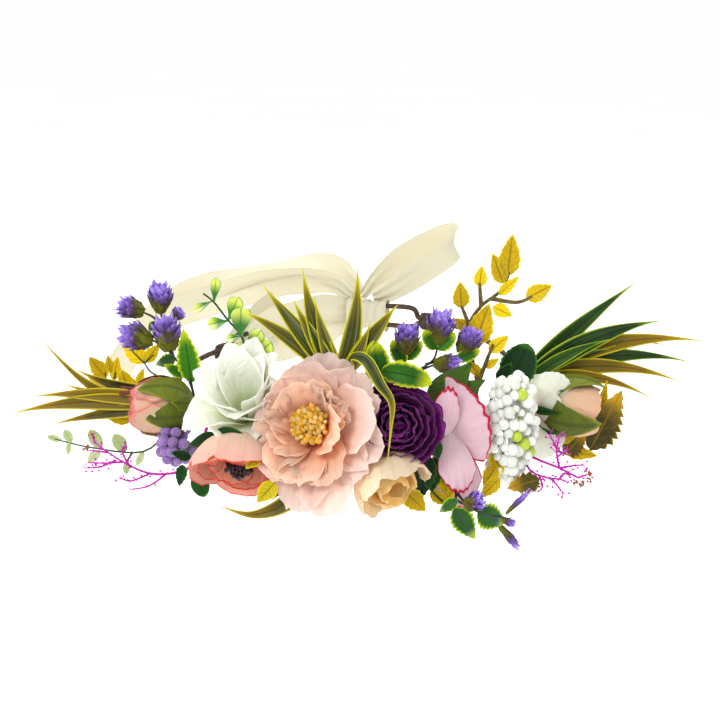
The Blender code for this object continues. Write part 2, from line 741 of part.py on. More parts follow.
# ---------------------------------------------------------------- ribbon

def ribbon(name, route, widths, lean=0.0, rows=2, steps=4):
    """A strip of ribbon that stands on edge: a route through its middle and a width at each stop."""
    path = smooth_path(route, steps)
    sizes = smooth_path([Vector((width, 0, 0)) for width in widths], steps)
    last = len(path) - 1

    def shape(u, v):
        index = round(u * last)
        height = sizes[index].x * (v - 0.5)
        return path[index] + Vector((0, lean * height, height))

    mesh = grid_mesh(name, last, rows, shape)
    return thicken(place(name, mesh, RIBBON), RIBBON_THICKNESS)


def make_ribbon(left_eye, left_along, right_eye, right_along):
    """The ribbon: looped through the left eye, knotted on the right eye, with a bow and tails."""
    # the knot is a sleeve round the right eye's end
    tip = right_eye + right_along * RIGHT_EYE_LENGTH
    knot_centre = tip - right_along * (1 * MM)
    half_tall = EYE_HALF_HEIGHT + WIRE_RADIUS + 0.6 * MM
    sleeve("ribbon_knot", knot_centre, right_along, KNOT_LENGTH, KNOT_SLOT_HALF, half_tall,
           KNOT_WALL, RIBBON)
    knot_top = knot_centre.z + half_tall + KNOT_WALL
    knot_end = knot_centre + right_along * (KNOT_LENGTH / 2 + 7 * GAP)

    # the tie wraps the end bar of the left eye and both strands run to the knot
    bar = left_eye + left_along * (LEFT_EYE_LENGTH - EYE_HALF_HEIGHT)
    out = Vector((-left_along.y, left_along.x, 0.0))
    strand = WIRE_RADIUS + 2 * GAP + RIBBON_THICKNESS / 2
    turn_centre = bar + left_along * (4.0 * MM)
    wrap = []
    for index in range(5):
        turn = math.pi / 2 + math.pi * index / 4
        wrap.append(turn_centre + left_along * strand * math.cos(turn) + out * strand * math.sin(turn))
    across = (knot_end - turn_centre).normalized()
    side = Vector((-across.y, across.x, 0.0))
    near_eye = turn_centre + (left_along + across).normalized() * (7 * MM)
    halfway = (turn_centre + knot_end) / 2 + Vector((0, 0, 3 * MM))
    route = [
        knot_end + side * strand,
        halfway + side * (strand + 2 * MM),
        near_eye + out * (strand + 0.6 * MM),
        *wrap,
        near_eye - out * (strand + 0.6 * MM),
        halfway - side * strand,
        knot_end - side * strand,
    ]
    narrow = RIBBON_AT_EYE
    widths = [0.8 * RIBBON_WIDTH, RIBBON_WIDTH, 0.6 * RIBBON_WIDTH, *[narrow] * 5,
              0.6 * RIBBON_WIDTH, RIBBON_WIDTH, 0.8 * RIBBON_WIDTH]
    ribbon("tie_ribbon", route, widths, steps=2)

    # the bow loop and both tails leave the knot's top
    def from_knot(x, y, z):
        return Vector((knot_centre.x, knot_centre.y, knot_top)) + millimetres((x, y, z))

    half = 4 * MM
    lift = (half + GAP) / MM + 0.4
    ribbon("bow_loop", [
        from_knot(-2, 2.5, lift), from_knot(8, 10, 14), from_knot(26, 20, 26), from_knot(46, 22, 32),
        from_knot(52, 17, 32), from_knot(46, 12, 28), from_knot(28, 6, 17), from_knot(10, 1, lift),
    ], [2 * half, 13 * MM, RIBBON_WIDTH, RIBBON_WIDTH, RIBBON_WIDTH, RIBBON_WIDTH, 15 * MM, 2 * half],
        steps=3)
    ribbon("ribbon_tail_upper", [
        from_knot(-5, 3, lift), from_knot(-16, 8, 16), from_knot(-36, 16, 20), from_knot(-62, 22, 14),
        from_knot(-90, 26, 4), from_knot(-116, 26, -8), from_knot(-138, 20, -26), from_knot(-156, 8, -50),
    ], [2 * half, 14 * MM, *[RIBBON_WIDTH] * 6], steps=3)
    ribbon("ribbon_tail_lower", [
        from_knot(-9, 1, lift), from_knot(-20, 4, 8), from_knot(-40, 10, 8), from_knot(-66, 15, 3),
        from_knot(-94, 19, -7), from_knot(-122, 18, -16),
    ], [2 * half, 13 * MM, *[RIBBON_WIDTH] * 4], steps=3)


# ---------------------------------------------------------------- the crown

make_hoop()
left_eye, left_along = make_arm("left", LEFT_EYE_ANGLE, LEFT_ARM_RISE, LEFT_EYE_LENGTH)
right_eye, right_along = make_arm("right", RIGHT_EYE_ANGLE, RIGHT_ARM_RISE, RIGHT_EYE_LENGTH)
make_ribbon(left_eye, left_along, right_eye, right_along)
make_peony()
make_white_flower()
make_coral_ranunculus()
make_purple_ranunculus()
make_cream_rose()
make_pink_flower()
make_hydrangea()
make_bud("left_bud", -64, (-1, -0.12, 0.08), 6 * MM, 15 * MM, 32 * MM)
make_bud("right_bud", 74, (1, 0.1, -0.15), 5 * MM, 13 * MM, 31 * MM)
make_berries("white_berries", 44, (15, -16, -2), 4 * MM, (12 * MM, 22 * MM, 9 * MM), 4.6 * MM, 20, BERRY)
make_berries("lilac_berries", -54, (-16, -6, -18), 9 * MM, (11 * MM, 11 * MM, 9 * MM), 3.4 * MM, 13, LILAC)
make_left_foliage()
make_top_foliage()
make_right_foliage()

for trunk, pieces in waiting_joins:
    join_pieces(trunk, pieces)
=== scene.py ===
"""The flower crown's looks: silk flowers, moulded foliage, paper-wrapped wire and ribbon.

Lengths are in millimetres until a piece becomes a mesh.  The hoop's middle is the origin,
its front is towards -Y and +Z is up.  Ring angles are in degrees from the front, positive
towards +X.  Every vertex carries a mark: across (-1 to 1), along (0 to 1) and tone (0 to 1).
"""
import math
import random

import bpy
from mathutils import Matrix, Vector, noise


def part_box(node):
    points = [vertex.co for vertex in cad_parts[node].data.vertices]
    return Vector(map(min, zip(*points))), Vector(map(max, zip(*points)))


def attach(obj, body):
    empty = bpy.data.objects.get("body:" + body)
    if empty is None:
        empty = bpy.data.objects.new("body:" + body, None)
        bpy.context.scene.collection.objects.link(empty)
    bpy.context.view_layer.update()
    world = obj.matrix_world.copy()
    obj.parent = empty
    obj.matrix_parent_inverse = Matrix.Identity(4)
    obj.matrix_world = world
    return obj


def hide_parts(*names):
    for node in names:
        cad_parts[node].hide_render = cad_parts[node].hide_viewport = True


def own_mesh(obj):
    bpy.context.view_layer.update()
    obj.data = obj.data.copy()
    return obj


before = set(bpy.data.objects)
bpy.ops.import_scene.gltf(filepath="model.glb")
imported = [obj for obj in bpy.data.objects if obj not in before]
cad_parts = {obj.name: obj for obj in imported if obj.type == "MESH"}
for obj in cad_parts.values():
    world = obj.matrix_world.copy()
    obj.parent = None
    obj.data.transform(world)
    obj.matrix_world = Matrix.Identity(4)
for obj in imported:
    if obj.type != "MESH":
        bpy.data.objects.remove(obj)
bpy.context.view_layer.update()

MM = 0.001
HOOP_RADIUS = 95.0
WIRE_RADIUS = 1.5
TAPE_RADIUS = 3.8
BEND_ANGLE = 78.0
TAPE_END_ANGLE = 73.0
GAP_ANGLE = 0.18
LEFT_EYE_ANGLE = 131.0
RIGHT_EYE_ANGLE = 154.0
EYE_HALF_HEIGHT = 5.7
EYE_GAP = 0.3
BINDING_LENGTH = 9.0
KNOT_ANGLE = 163.95
RIBBON_WIDTH = 19.0
TIE_BAR = Vector((-60.5, 73.0, 1.0))  # where the tie goes round the left eye
GOLDEN_TURN = math.pi * (3 - math.sqrt(5))
UP = Vector((0.0, 0.0, 1.0))

CAMERA_DISTANCE = 0.95
CAMERA_ELEVATION = math.radians(17.0)
CAMERA_LENS = 85.5
CAMERA_SHIFT = (0.0139, 0.0278)
TO_CAMERA = Vector((0.0, -math.cos(CAMERA_ELEVATION), math.sin(CAMERA_ELEVATION)))
FLOOR_REACH = 14.0
FLOOR_LEVEL = -0.42


# ---------------------------------------------------------------- stage

def set_stage():
    """Camera, pale floor, soft light."""
    scene = bpy.context.scene
    scene.view_settings.view_transform = "Standard"
    lens = bpy.data.cameras.new("camera")
    lens.lens = CAMERA_LENS
    lens.sensor_width = 36.0
    lens.shift_x, lens.shift_y = CAMERA_SHIFT
    lens.clip_end = 60.0
    camera = bpy.data.objects.new("camera", lens)
    camera.location = TO_CAMERA * CAMERA_DISTANCE
    camera.rotation_euler = (math.pi / 2 - CAMERA_ELEVATION, 0.0, 0.0)
    scene.collection.objects.link(camera)
    scene.camera = camera

    world = bpy.data.worlds.new("soft_sky")
    world.use_nodes = True
    sky = world.node_tree.nodes["Background"]
    sky.inputs["Color"].default_value = (1.0, 1.0, 1.0, 1.0)
    sky.inputs["Strength"].default_value = 1.0
    scene.world = world

    def soft_box(name, place, size, power):
        lamp = bpy.data.lights.new(name, "AREA")
        lamp.shape = "DISK"
        lamp.size = size
        lamp.energy = power
        thing = bpy.data.objects.new(name, lamp)
        thing.location = place
        thing.rotation_euler = (-Vector(place)).to_track_quat("-Z", "Y").to_euler()
        scene.collection.objects.link(thing)

    soft_box("key", (-0.9, -1.5, 1.3), 0.7, 20.0)
    soft_box("back", (0.3, 1.4, 1.3), 1.2, 26.0)

    look = Look("pale_floor")
    shade = look.noise(3.0, look.spot)
    look.surface(look.mix(shade, (0.97,) * 3, (1.0,) * 3), rough=0.9, specular=0.1)
    floor = bpy.data.meshes.new("floor")
    corners = ((-1, -1), (1, -1), (1, 1), (-1, 1))
    floor.from_pydata([(FLOOR_REACH * x, FLOOR_REACH * y, FLOOR_LEVEL) for x, y in corners], [],
                      [(0, 1, 2, 3)])
    floor.materials.append(look.material)
    ground = bpy.data.objects.new("floor", floor)
    scene.collection.objects.link(ground)


# ---------------------------------------------------------------- materials

class Look:
    """One procedural material and short calls for its nodes."""

    def __init__(self, name):
        self.material = bpy.data.materials.new(name)
        self.material.use_nodes = True
        self.tree = self.material.node_tree
        self.tree.nodes.clear()
        mark = self.node("ShaderNodeAttribute")
        mark.attribute_name = "mark"
        parts = self.node("ShaderNodeSeparateXYZ", mark.outputs["Vector"])
        self.across, self.along, self.tone = parts.outputs
        self.spot = self.node("ShaderNodeTexCoord").outputs["Object"]

    def node(self, kind, *inputs, **settings):
        made = self.tree.nodes.new(kind)
        for key, value in settings.items():
            setattr(made, key, value)
        for socket, value in zip(made.inputs, inputs):
            self.feed(socket, value)
        return made

    def feed(self, socket, value):
        if isinstance(value, bpy.types.NodeSocket):
            self.tree.links.new(value, socket)
        elif isinstance(value, tuple) and socket.type == "RGBA":
            socket.default_value = (*value, 1.0)
        elif value is not None:
            socket.default_value = value

    def math(self, operation, *values):
        return self.node("ShaderNodeMath", *values, operation=operation).outputs[0]

    def plus(self, a, b):
        return self.math("ADD", a, b)

    def minus(self, a, b):
        return self.math("SUBTRACT", a, b)

    def times(self, a, b):
        return self.math("MULTIPLY", a, b)

    def flip(self, value):
        """1 minus the value."""
        return self.minus(1.0, value)

    def step(self, value, low, high):
        """0 below low, 1 over high, smooth between."""
        return self.node("ShaderNodeMapRange", value, low, high, 0.0, 1.0,
                         interpolation_type="SMOOTHSTEP").outputs[0]

    def noise(self, scale, vector, detail=3.0):
        made = self.node("ShaderNodeTexNoise", vector)
        made.inputs["Scale"].default_value = scale
        made.inputs["Detail"].default_value = detail
        return made.outputs[0]

    def mix(self, share, a, b, blend="MIX"):
        made = self.node("ShaderNodeMix", data_type="RGBA", blend_type=blend)
        self.feed(made.inputs[0], share)
        self.feed(made.inputs[6], a)
        self.feed(made.inputs[7], b)
        return made.outputs[2]

    def ramp(self, value, *stops):
        made = self.node("ShaderNodeValToRGB", value)
        band = made.color_ramp
        while len(band.elements) < len(stops):
            band.elements.new(0.5)
        for element, (place, colour) in zip(band.elements, stops):
            element.position = place
            element.color = (*colour, 1.0)
        return made.outputs[0]

    def edge_distance(self):
        """How far a spot is from its blade's outline, 0 to 1."""
        aside = self.math("ABSOLUTE", self.across)
        return self.flip(self.math("MAXIMUM", aside, self.along))

    def streaks(self, fine, long=1.5):
        """Noise drawn out from base to tip."""
        grain = self.node("ShaderNodeCombineXYZ", self.times(self.across, fine),
                          self.times(self.along, long), self.times(self.tone, 37.0))
        return self.noise(1.0, grain.outputs[0])

    def shaded(self, colour, spread=0.25):
        """Each blade a little lighter or darker than the next."""
        low, high = 1.0 - spread, 1.0 + spread * 0.4
        grey = self.ramp(self.tone, (0.0, (low,) * 3), (1.0, (high,) * 3))
        return self.mix(1.0, colour, grey, "MULTIPLY")

    def surface(self, colour, rough=0.6, height=None, depth=0.2, through=0.0, specular=0.5,
                sheen=0.0, coat=0.0):
        """The shader; through is how much light passes from the other side."""
        skin = self.node("ShaderNodeBsdfPrincipled")
        self.feed(skin.inputs["Base Color"], colour)
        self.feed(skin.inputs["Roughness"], rough)
        skin.inputs["Specular IOR Level"].default_value = specular
        skin.inputs["Sheen Weight"].default_value = sheen
        skin.inputs["Sheen Roughness"].default_value = 0.5
        skin.inputs["Coat Weight"].default_value = coat
        skin.inputs["Coat Roughness"].default_value = 0.25
        bump = None
        if height is not None:
            bump = self.node("ShaderNodeBump")
            bump.inputs["Strength"].default_value = 1.0
            bump.inputs["Distance"].default_value = depth * MM
            self.feed(bump.inputs["Height"], height)
            self.feed(skin.inputs["Normal"], bump.outputs[0])
        result = skin.outputs[0]
        if through:
            clear = self.node("ShaderNodeBsdfTranslucent")
            self.feed(clear.inputs["Color"], colour)
            if bump is not None:
                self.feed(clear.inputs["Normal"], bump.outputs[0])
            both = self.node("ShaderNodeMixShader")
            both.inputs[0].default_value = through
            self.feed(both.inputs[1], skin.outputs[0])
            self.feed(both.inputs[2], clear.outputs[0])
            result = both.outputs[0]
        self.node("ShaderNodeOutputMaterial", result)
        return self.material


def linear(red, green, blue):
    """A display colour as the renderer's linear one."""
    return tuple(c / 12.92 if c <= 0.04 else ((c + 0.055) / 1.055) ** 2.4 for c in (red, green, blue))


def petal_look(name, heart, body, tip, rim=None, rim_width=0.05, through=0.35, rough=0.8,
               vein=0.03, crepe=0.12, spread=0.16):
    """Pressed cloth: a gradient from heart to tip, fine veins, a rim line if one is given."""
    look = Look(name)
    cloud = look.noise(70.0, look.spot)
    shift = look.math("MULTIPLY_ADD", cloud, 0.3, look.minus(look.along, 0.15))
    colour = look.ramp(shift, (0.05, linear(*heart)), (0.5, linear(*body)), (0.95, linear(*tip)))
    streak = look.streaks(16.0)
    darker = look.ramp(streak, (0.3, (1 - vein * 2,) * 3), (0.6, (1.0,) * 3))
    colour = look.mix(1.0, colour, darker, "MULTIPLY")
    colour = look.shaded(colour, spread)
    if rim is not None:
        ragged = look.math("MULTIPLY_ADD", look.noise(500.0, look.spot), rim_width,
                           look.minus(look.edge_distance(), rim_width * 0.5))
        share = look.flip(look.step(ragged, rim_width * 0.6, rim_width * 1.3))
        colour = look.mix(share, colour, linear(*rim))
    grain = look.noise(900.0, look.spot, 2.0)
    folds = look.noise(160.0, look.spot, 4.0)
    height = look.plus(look.times(streak, 0.3), look.times(grain, crepe))
    height = look.plus(height, look.times(folds, 0.4))
    rough_map = look.math("MULTIPLY_ADD", grain, 0.15, rough - 0.08)
    return look.surface(colour, rough_map, height, depth=0.5, through=through, specular=0.25, sheen=0.1)


def leaf_look(name, dark, light, rim, vein, rim_width=0.16, ribs=9.0, through=0.4, rough=0.5,
              tip=None, coat=0.05, stripe=None, tip_from=0.55):
    """Moulded leaf: body between two greens, a coloured rim, a midrib and side veins."""
    look = Look(name)
    cloud = look.noise(90.0, look.spot)
    body = look.mix(look.tone, linear(*dark), linear(*light))
    body = look.mix(look.times(look.step(cloud, 0.35, 0.75), 0.45), body, linear(*light))
    if stripe is not None:
        band = look.times(look.step(look.streaks(5.0, 0.6), 0.52, 0.62), 0.4)
        body = look.mix(band, body, linear(*stripe))
    if tip is not None:
        share = look.step(look.plus(look.along, look.times(cloud, 0.3)),
                          tip_from, tip_from + 0.55)
        body = look.mix(share, body, linear(*tip))
    aside = look.math("ABSOLUTE", look.across)
    slant = look.minus(look.times(look.along, ribs),
                      look.times(aside, ribs * 0.22))
    wave = look.math("ABSOLUTE", look.math("SINE", look.times(slant, math.pi)))
    side_vein = look.flip(look.step(wave, 0.05, 0.3))
    mid_vein = look.flip(look.step(aside, 0.03, 0.12))
    veins = look.math("MAXIMUM", look.times(side_vein, 0.55), mid_vein)
    body = look.mix(look.times(veins, 0.6), body, linear(*vein))
    edge = look.plus(look.edge_distance(), look.times(cloud, rim_width * 0.6))
    share = look.flip(look.step(edge, rim_width * 0.3, rim_width * 2.6))
    body = look.mix(share, body, linear(*rim))
    height = look.minus(look.times(look.noise(420.0, look.spot), 0.25),
                       look.times(veins, 0.5))
    rough_map = look.math("MULTIPLY_ADD", cloud, 0.25, rough - 0.1)
    return look.surface(body, rough_map, height, depth=0.35, through=through, specular=0.3, coat=coat)


def scale_look():
    """Lavender scales: olive at the bud's foot and violet with pale frayed tips at its head."""
    look = Look("lavender_scale")
    cloud = look.noise(220.0, look.spot)
    streak = look.streaks(7.0, 1.0)
    rise = look.plus(look.times(look.tone, 0.85), look.times(look.along, 0.42))
    rise = look.plus(rise, look.times(look.minus(cloud, 0.5), 0.3))
    colour = look.ramp(rise, (0.2, linear(0.50, 0.52, 0.10)), (0.48, linear(0.36, 0.30, 0.18)),
                       (0.66, linear(0.48, 0.34, 0.70)), (0.9, linear(0.64, 0.48, 0.94)),
                       (1.0, linear(0.80, 0.68, 1.0)))
    dark = look.ramp(streak, (0.35, (0.6, 0.58, 0.62)), (0.5, (1.0, 1.0, 1.0)))
    colour = look.mix(1.0, colour, dark, "MULTIPLY")
    pale = look.times(look.step(look.along, 0.7, 1.0), 0.35)
    colour = look.mix(pale, colour, linear(0.86, 0.80, 0.98))
    return look.surface(colour, 0.65, streak, depth=0.3, through=0.35, specular=0.3, sheen=0.1)


def stem_look(name, dark, light, rough=0.6, wraps=0.0):
    """A stem, wire or tape; wraps is how many turns of paper lie along one blade length, each turn with a
    band of painted shade at the foot of its overlap step.
    """
    look = Look(name)
    cloud = look.noise(260.0, look.spot, 4.0)
    colour = look.mix(look.step(cloud, 0.3, 0.7), linear(*dark), linear(*light))
    height = look.times(look.noise(1400.0, look.spot), 0.5)
    if wraps:
        turn = look.plus(look.times(look.along, wraps), look.times(look.across, 0.5))
        # painted shade: just past each turn's step the paper is darkened to half its dark colour for the
        # overlapping edge's shadow; the same mask cuts the bump's groove
        groove_and_painted_shade = look.step(look.math("FRACT", turn), 0.0, 0.14)
        colour = look.mix(groove_and_painted_shade, linear(*(0.5 * c for c in dark)), colour)
        height = look.plus(height, look.times(groove_and_painted_shade, 1.2))
    return look.surface(colour, rough, height, depth=0.25, specular=0.3)


def bead_look(name, body, shade, odd=None, rough=0.35, through=0.0, powder=0.0, coat=0.2):
    """Round berries or pollen: soft mottling between body and a second colour, which on the golden stamens
    is cream, partly pale pollen and partly painted highlight; the last few beads take the odd colour.
    """
    look = Look(name)
    cloud = look.noise(400.0, look.spot)
    # second colour: real mottling on berries, partly painted highlight on the golden stamens
    colour = look.mix(look.step(cloud, 0.4, 0.75), linear(*body), linear(*shade))
    if odd is not None:
        colour = look.mix(look.step(look.tone, 0.965, 0.97), colour, linear(*odd))
    colour = look.shaded(colour, 0.14)
    pole = look.flip(look.step(look.along, 0.02, 0.08))
    colour = look.mix(look.times(pole, 0.7), colour, linear(0.55, 0.5, 0.35))
    height = look.noise(1800.0 if powder else 700.0, look.spot)
    return look.surface(colour, rough, height, depth=0.12 + powder, through=through, sheen=powder,
                        coat=coat)


def ribbon_look():
    """Thin satin: warm white, fine cross weave, a gold thread line along each edge."""
    look = Look("ribbon_cloth")
    cloud = look.noise(28.0, look.spot)
    colour = look.mix(cloud, linear(0.96, 0.95, 0.90), linear(0.92, 0.905, 0.82))
    aside = look.math("ABSOLUTE", look.across)
    thread = look.minus(look.step(aside, 0.93, 0.95), look.step(aside, 0.97, 0.985))
    broken = look.step(look.noise(900.0, look.spot), 0.35, 0.6)
    colour = look.mix(look.times(thread, broken), colour, linear(0.80, 0.74, 0.56))
    pick = look.math("SINE", look.times(look.across, 150.0))
    warp = look.math("SINE", look.times(look.along, 1400.0))
    weave = look.times(pick, warp)
    colour = look.mix(look.math("MULTIPLY_ADD", weave, 0.04, 0.5), colour, linear(0.92, 0.90, 0.8))
    height = look.plus(look.times(weave, 0.3),
                       look.times(look.noise(120.0, look.spot), 0.6))
    return look.surface(colour, 0.42, height, depth=0.1, through=0.4, specular=0.4, sheen=0.1)


def woven_look():
    """A green cloth leaf with an open diagonal weave."""
    look = Look("woven_leaf")
    parts = look.node("ShaderNodeSeparateXYZ", look.spot)
    x, z = parts.outputs[0], parts.outputs[2]
    one = look.math("SINE", look.times(look.plus(x, z), 5200.0))
    two = look.math("SINE", look.times(look.minus(x, z), 5200.0))
    weave = look.math("MAXIMUM", one, two)
    cloud = look.noise(60.0, look.spot)
    body = look.mix(cloud, linear(0.10, 0.26, 0.06), linear(0.24, 0.42, 0.12))
    body = look.mix(look.step(weave, 0.2, 0.9), body, linear(0.42, 0.56, 0.24))
    return look.surface(body, 0.75, look.times(weave, 0.6), depth=0.3, through=0.35, specular=0.2)


def make_looks():
    """Every material, by short name."""
    return {
        "peony_outer": petal_look("peony_outer", (1.0, 0.76, 0.60), (1.0, 0.89, 0.82),
                                  (1.0, 0.93, 0.90), through=0.5),
        "peony_inner": petal_look("peony_inner", (1.0, 0.62, 0.36), (1.0, 0.80, 0.65),
                                  (1.0, 0.90, 0.82), through=0.5),
        "white": petal_look("white_silk", (0.88, 0.93, 0.70), (0.97, 0.98, 0.92),
                            (1.0, 1.0, 0.98), spread=0.08, through=0.55),
        "coral": petal_look("coral_silk", (1.0, 0.95, 0.80), (1.0, 0.90, 0.80),
                            (0.99, 0.80, 0.73), (0.93, 0.42, 0.34), 0.014, through=0.36),
        "coral_inner": petal_look("coral_inner", (0.50, 0.16, 0.16), (0.95, 0.64, 0.52),
                                  (0.98, 0.78, 0.68), (0.92, 0.42, 0.34), 0.03, through=0.5),
        "plum": petal_look("plum_crepe", (0.34, 0.0, 0.34), (0.58, 0.10, 0.56),
                           (0.72, 0.24, 0.70), (0.40, 0.02, 0.40), 0.04, through=0.3,
                           rough=0.6, vein=0.2, crepe=0.7, spread=0.35),
        "cream": petal_look("cream_silk", (1.0, 0.84, 0.56), (1.0, 0.92, 0.76),
                            (1.0, 0.94, 0.84), through=0.45),
        "cream_heart": petal_look("cream_heart", (0.98, 0.66, 0.22), (1.0, 0.86, 0.54),
                                  (1.0, 0.92, 0.70), through=0.5),
        "pink": petal_look("pink_silk", (0.96, 0.90, 0.90), (0.94, 0.83, 0.86),
                           (0.94, 0.82, 0.86), (0.80, 0.06, 0.26), 0.05, vein=0.04, spread=0.08),
        "hydrangea": petal_look("hydrangea_silk", (0.97, 0.86, 0.82), (0.96, 0.96, 0.90),
                                (0.96, 0.97, 0.93), through=0.5, spread=0.08),
        "bud_pink": petal_look("bud_pink", (0.99, 0.95, 0.74), (0.99, 0.91, 0.74),
                               (0.96, 0.78, 0.70), (0.92, 0.60, 0.58), 0.06, through=0.45),
        "bud_peach": petal_look("bud_peach", (0.96, 0.82, 0.66), (0.98, 0.86, 0.72),
                                (0.97, 0.80, 0.66)),
        "sepal": leaf_look("bud_sepal", (0.28, 0.34, 0.03), (0.46, 0.50, 0.10), (0.52, 0.54, 0.12),
                           (0.22, 0.28, 0.03), 0.05, 5.0, 0.15, 0.6, coat=0.0),
        "green": leaf_look("green_leaf", (0.07, 0.36, 0.03), (0.30, 0.60, 0.07),
                           (0.88, 0.92, 0.10), (0.08, 0.22, 0.06), 0.16),
        "dark_green": leaf_look("dark_green_leaf", (0.04, 0.20, 0.06), (0.10, 0.36, 0.08),
                                (0.26, 0.52, 0.10), (0.02, 0.10, 0.04), 0.08),
        "moulded": leaf_look("moulded_green", (0.06, 0.42, 0.02), (0.22, 0.60, 0.03),
                             (0.30, 0.66, 0.04), (0.12, 0.48, 0.02), 0.02, 1.0, 0.25, 0.22,
                             tip=(0.90, 0.95, 0.42), coat=0.6, tip_from=0.5),
        "grass": leaf_look("grass_leaf", (0.04, 0.15, 0.01), (0.52, 0.43, 0.02),
                           (0.86, 0.78, 0.04), (0.18, 0.20, 0.03), 0.12, 1.0, 0.3,
                           tip=(0.72, 0.56, 0.06), tip_from=0.65),
        "green_grass": leaf_look("green_grass", (0.05, 0.17, 0.03), (0.20, 0.38, 0.05),
                                 (0.70, 0.80, 0.12), (0.04, 0.12, 0.02), 0.10, 1.0, 0.3,
                                 stripe=(0.30, 0.45, 0.22)),
        "striped_grass": leaf_look("striped_grass", (0.12, 0.24, 0.05), (0.42, 0.38, 0.03),
                                   (0.88, 0.86, 0.08), (0.16, 0.20, 0.05), 0.13, 1.0, 0.35,
                                   stripe=(0.66, 0.70, 0.52), tip=(0.66, 0.58, 0.06), tip_from=0.6),
        "yellow": leaf_look("yellow_leaf", (0.78, 0.66, 0.0), (0.97, 0.88, 0.05),
                            (1.0, 0.95, 0.25), (0.46, 0.40, 0.0), 0.05, 6.0, 0.45, 0.5),
        "gold": leaf_look("gold_leaf", (0.74, 0.70, 0.02), (0.98, 0.90, 0.05),
                          (1.0, 0.94, 0.14), (0.30, 0.30, 0.04), 0.08, 6.0, 0.4, 0.5),
        "sage": leaf_look("sage_leaf", (0.66, 0.76, 0.46), (0.82, 0.86, 0.68),
                          (0.78, 0.84, 0.62), (0.60, 0.70, 0.42), 0.05, 2.0, 0.3, 0.4),
        "brown": leaf_look("brown_leaf", (0.26, 0.24, 0.03), (0.44, 0.36, 0.03),
                           (0.78, 0.60, 0.03), (0.60, 0.50, 0.10), 0.06, 6.0, 0.3, 0.5,
                           tip=(0.84, 0.66, 0.02), tip_from=0.6),
        "violet": scale_look(),
        "violet_leaf": leaf_look("violet_leaf", (0.08, 0.32, 0.05), (0.26, 0.50, 0.10),
                                 (0.72, 0.84, 0.12), (0.30, 0.22, 0.40), 0.14, 7.0, 0.25, 0.5,
                                 tip=(0.48, 0.40, 0.74), tip_from=0.75),
        "fern": leaf_look("magenta_fern", (0.74, 0.0, 0.64), (0.86, 0.12, 0.78),
                          (0.82, 0.30, 0.76), (0.50, 0.0, 0.42), 0.05, 1.0, 0.2, 0.5),
        # golden stamens: the cream second colour is partly pale pollen and partly painted highlight on the
        # lumps
        "stamen": bead_look("golden_stamen", (1.0, 0.80, 0.10), (1.0, 0.97, 0.72), rough=0.6,
                            through=0.4, powder=0.15, coat=0.0),
        "dark_stamen": bead_look("dark_stamen", (0.14, 0.04, 0.07), (0.30, 0.12, 0.16), rough=0.7),
        "berry": bead_look("white_berry", (0.95, 0.96, 0.93), (0.90, 0.91, 0.87),
                           (0.72, 0.80, 0.22), through=0.12, coat=0.3),
        "lilac": bead_look("lilac_berry", (0.56, 0.42, 0.68), (0.44, 0.30, 0.58), rough=0.75,
                           powder=0.3, coat=0.0),
        "stem": stem_look("green_stem", (0.10, 0.20, 0.08), (0.20, 0.34, 0.12)),
        "olive_stem": stem_look("olive_stem", (0.28, 0.22, 0.10), (0.44, 0.36, 0.12)),
        "dark_stem": stem_look("dark_stem", (0.14, 0.13, 0.12), (0.24, 0.24, 0.20)),
        "twig": stem_look("red_twig", (0.35, 0.12, 0.10), (0.52, 0.24, 0.18)),
        "paper": stem_look("paper_wrap", (0.24, 0.18, 0.14), (0.36, 0.29, 0.24), 0.9, 34.0),
        "binding": stem_look("paper_binding", (0.20, 0.15, 0.12), (0.32, 0.26, 0.21), 0.9, 5.0),
        "tape": stem_look("floral_tape", (0.16, 0.26, 0.10), (0.26, 0.38, 0.16), 0.8, 26.0),
        "woven": woven_look(),
        "ribbon": ribbon_look(),
        "crumb": bead_look("fern_crumb", (0.62, 0.30, 0.22), (0.55, 0.42, 0.14), rough=0.8, powder=0.2),
    }


# ---------------------------------------------------------------- geometry

def ring_point(angle, height=0.0):
    """A point over the hoop at a ring angle."""
    turn = math.radians(angle)
    return Vector((HOOP_RADIUS * math.sin(turn), -HOOP_RADIUS * math.cos(turn), height))


def near(angle, x, y, z):
    """A point given from the hoop's centreline at a ring angle."""
    return ring_point(angle) + Vector((x, y, z))


def spoke(turn):
    """The unit vector at a turn about +Z."""
    return Vector((math.cos(turn), math.sin(turn), 0.0))


def rise(height):
    """A step along +Z."""
    return Vector((0.0, 0.0, height))


def frame_along(base, direction, up=UP):
    """A placement with local +Z along direction and local +Y as near to up as it gets."""
    z_axis = Vector(direction).normalized()
    x_axis = up.cross(z_axis).normalized()
    y_axis = z_axis.cross(x_axis)
    return Matrix.Translation(base) @ Matrix((x_axis, y_axis, z_axis)).transposed().to_4x4()


def smooth_path(points, steps=6):
    """Points of a smooth curve through the given points or numbers."""
    stops = [points[0], *points, points[-1]]
    path = []
    for before, start, end, after in zip(stops, stops[1:], stops[2:], stops[3:]):
        for step in range(steps):
            t = step / steps
            path.append(0.5 * (2 * start + (end - before) * t
                               + (2 * before - 5 * start + 4 * end - after) * t * t
                               + (3 * start - before - 3 * end + after) * t * t * t))
    path.append(points[-1])
    return path


def ripple(point, size, seed=0.0):
    """Smooth noise from -1 to 1 with features of a size."""
    return noise.noise(Vector(point) / size + Vector((seed, seed * 1.7, 0.0)))


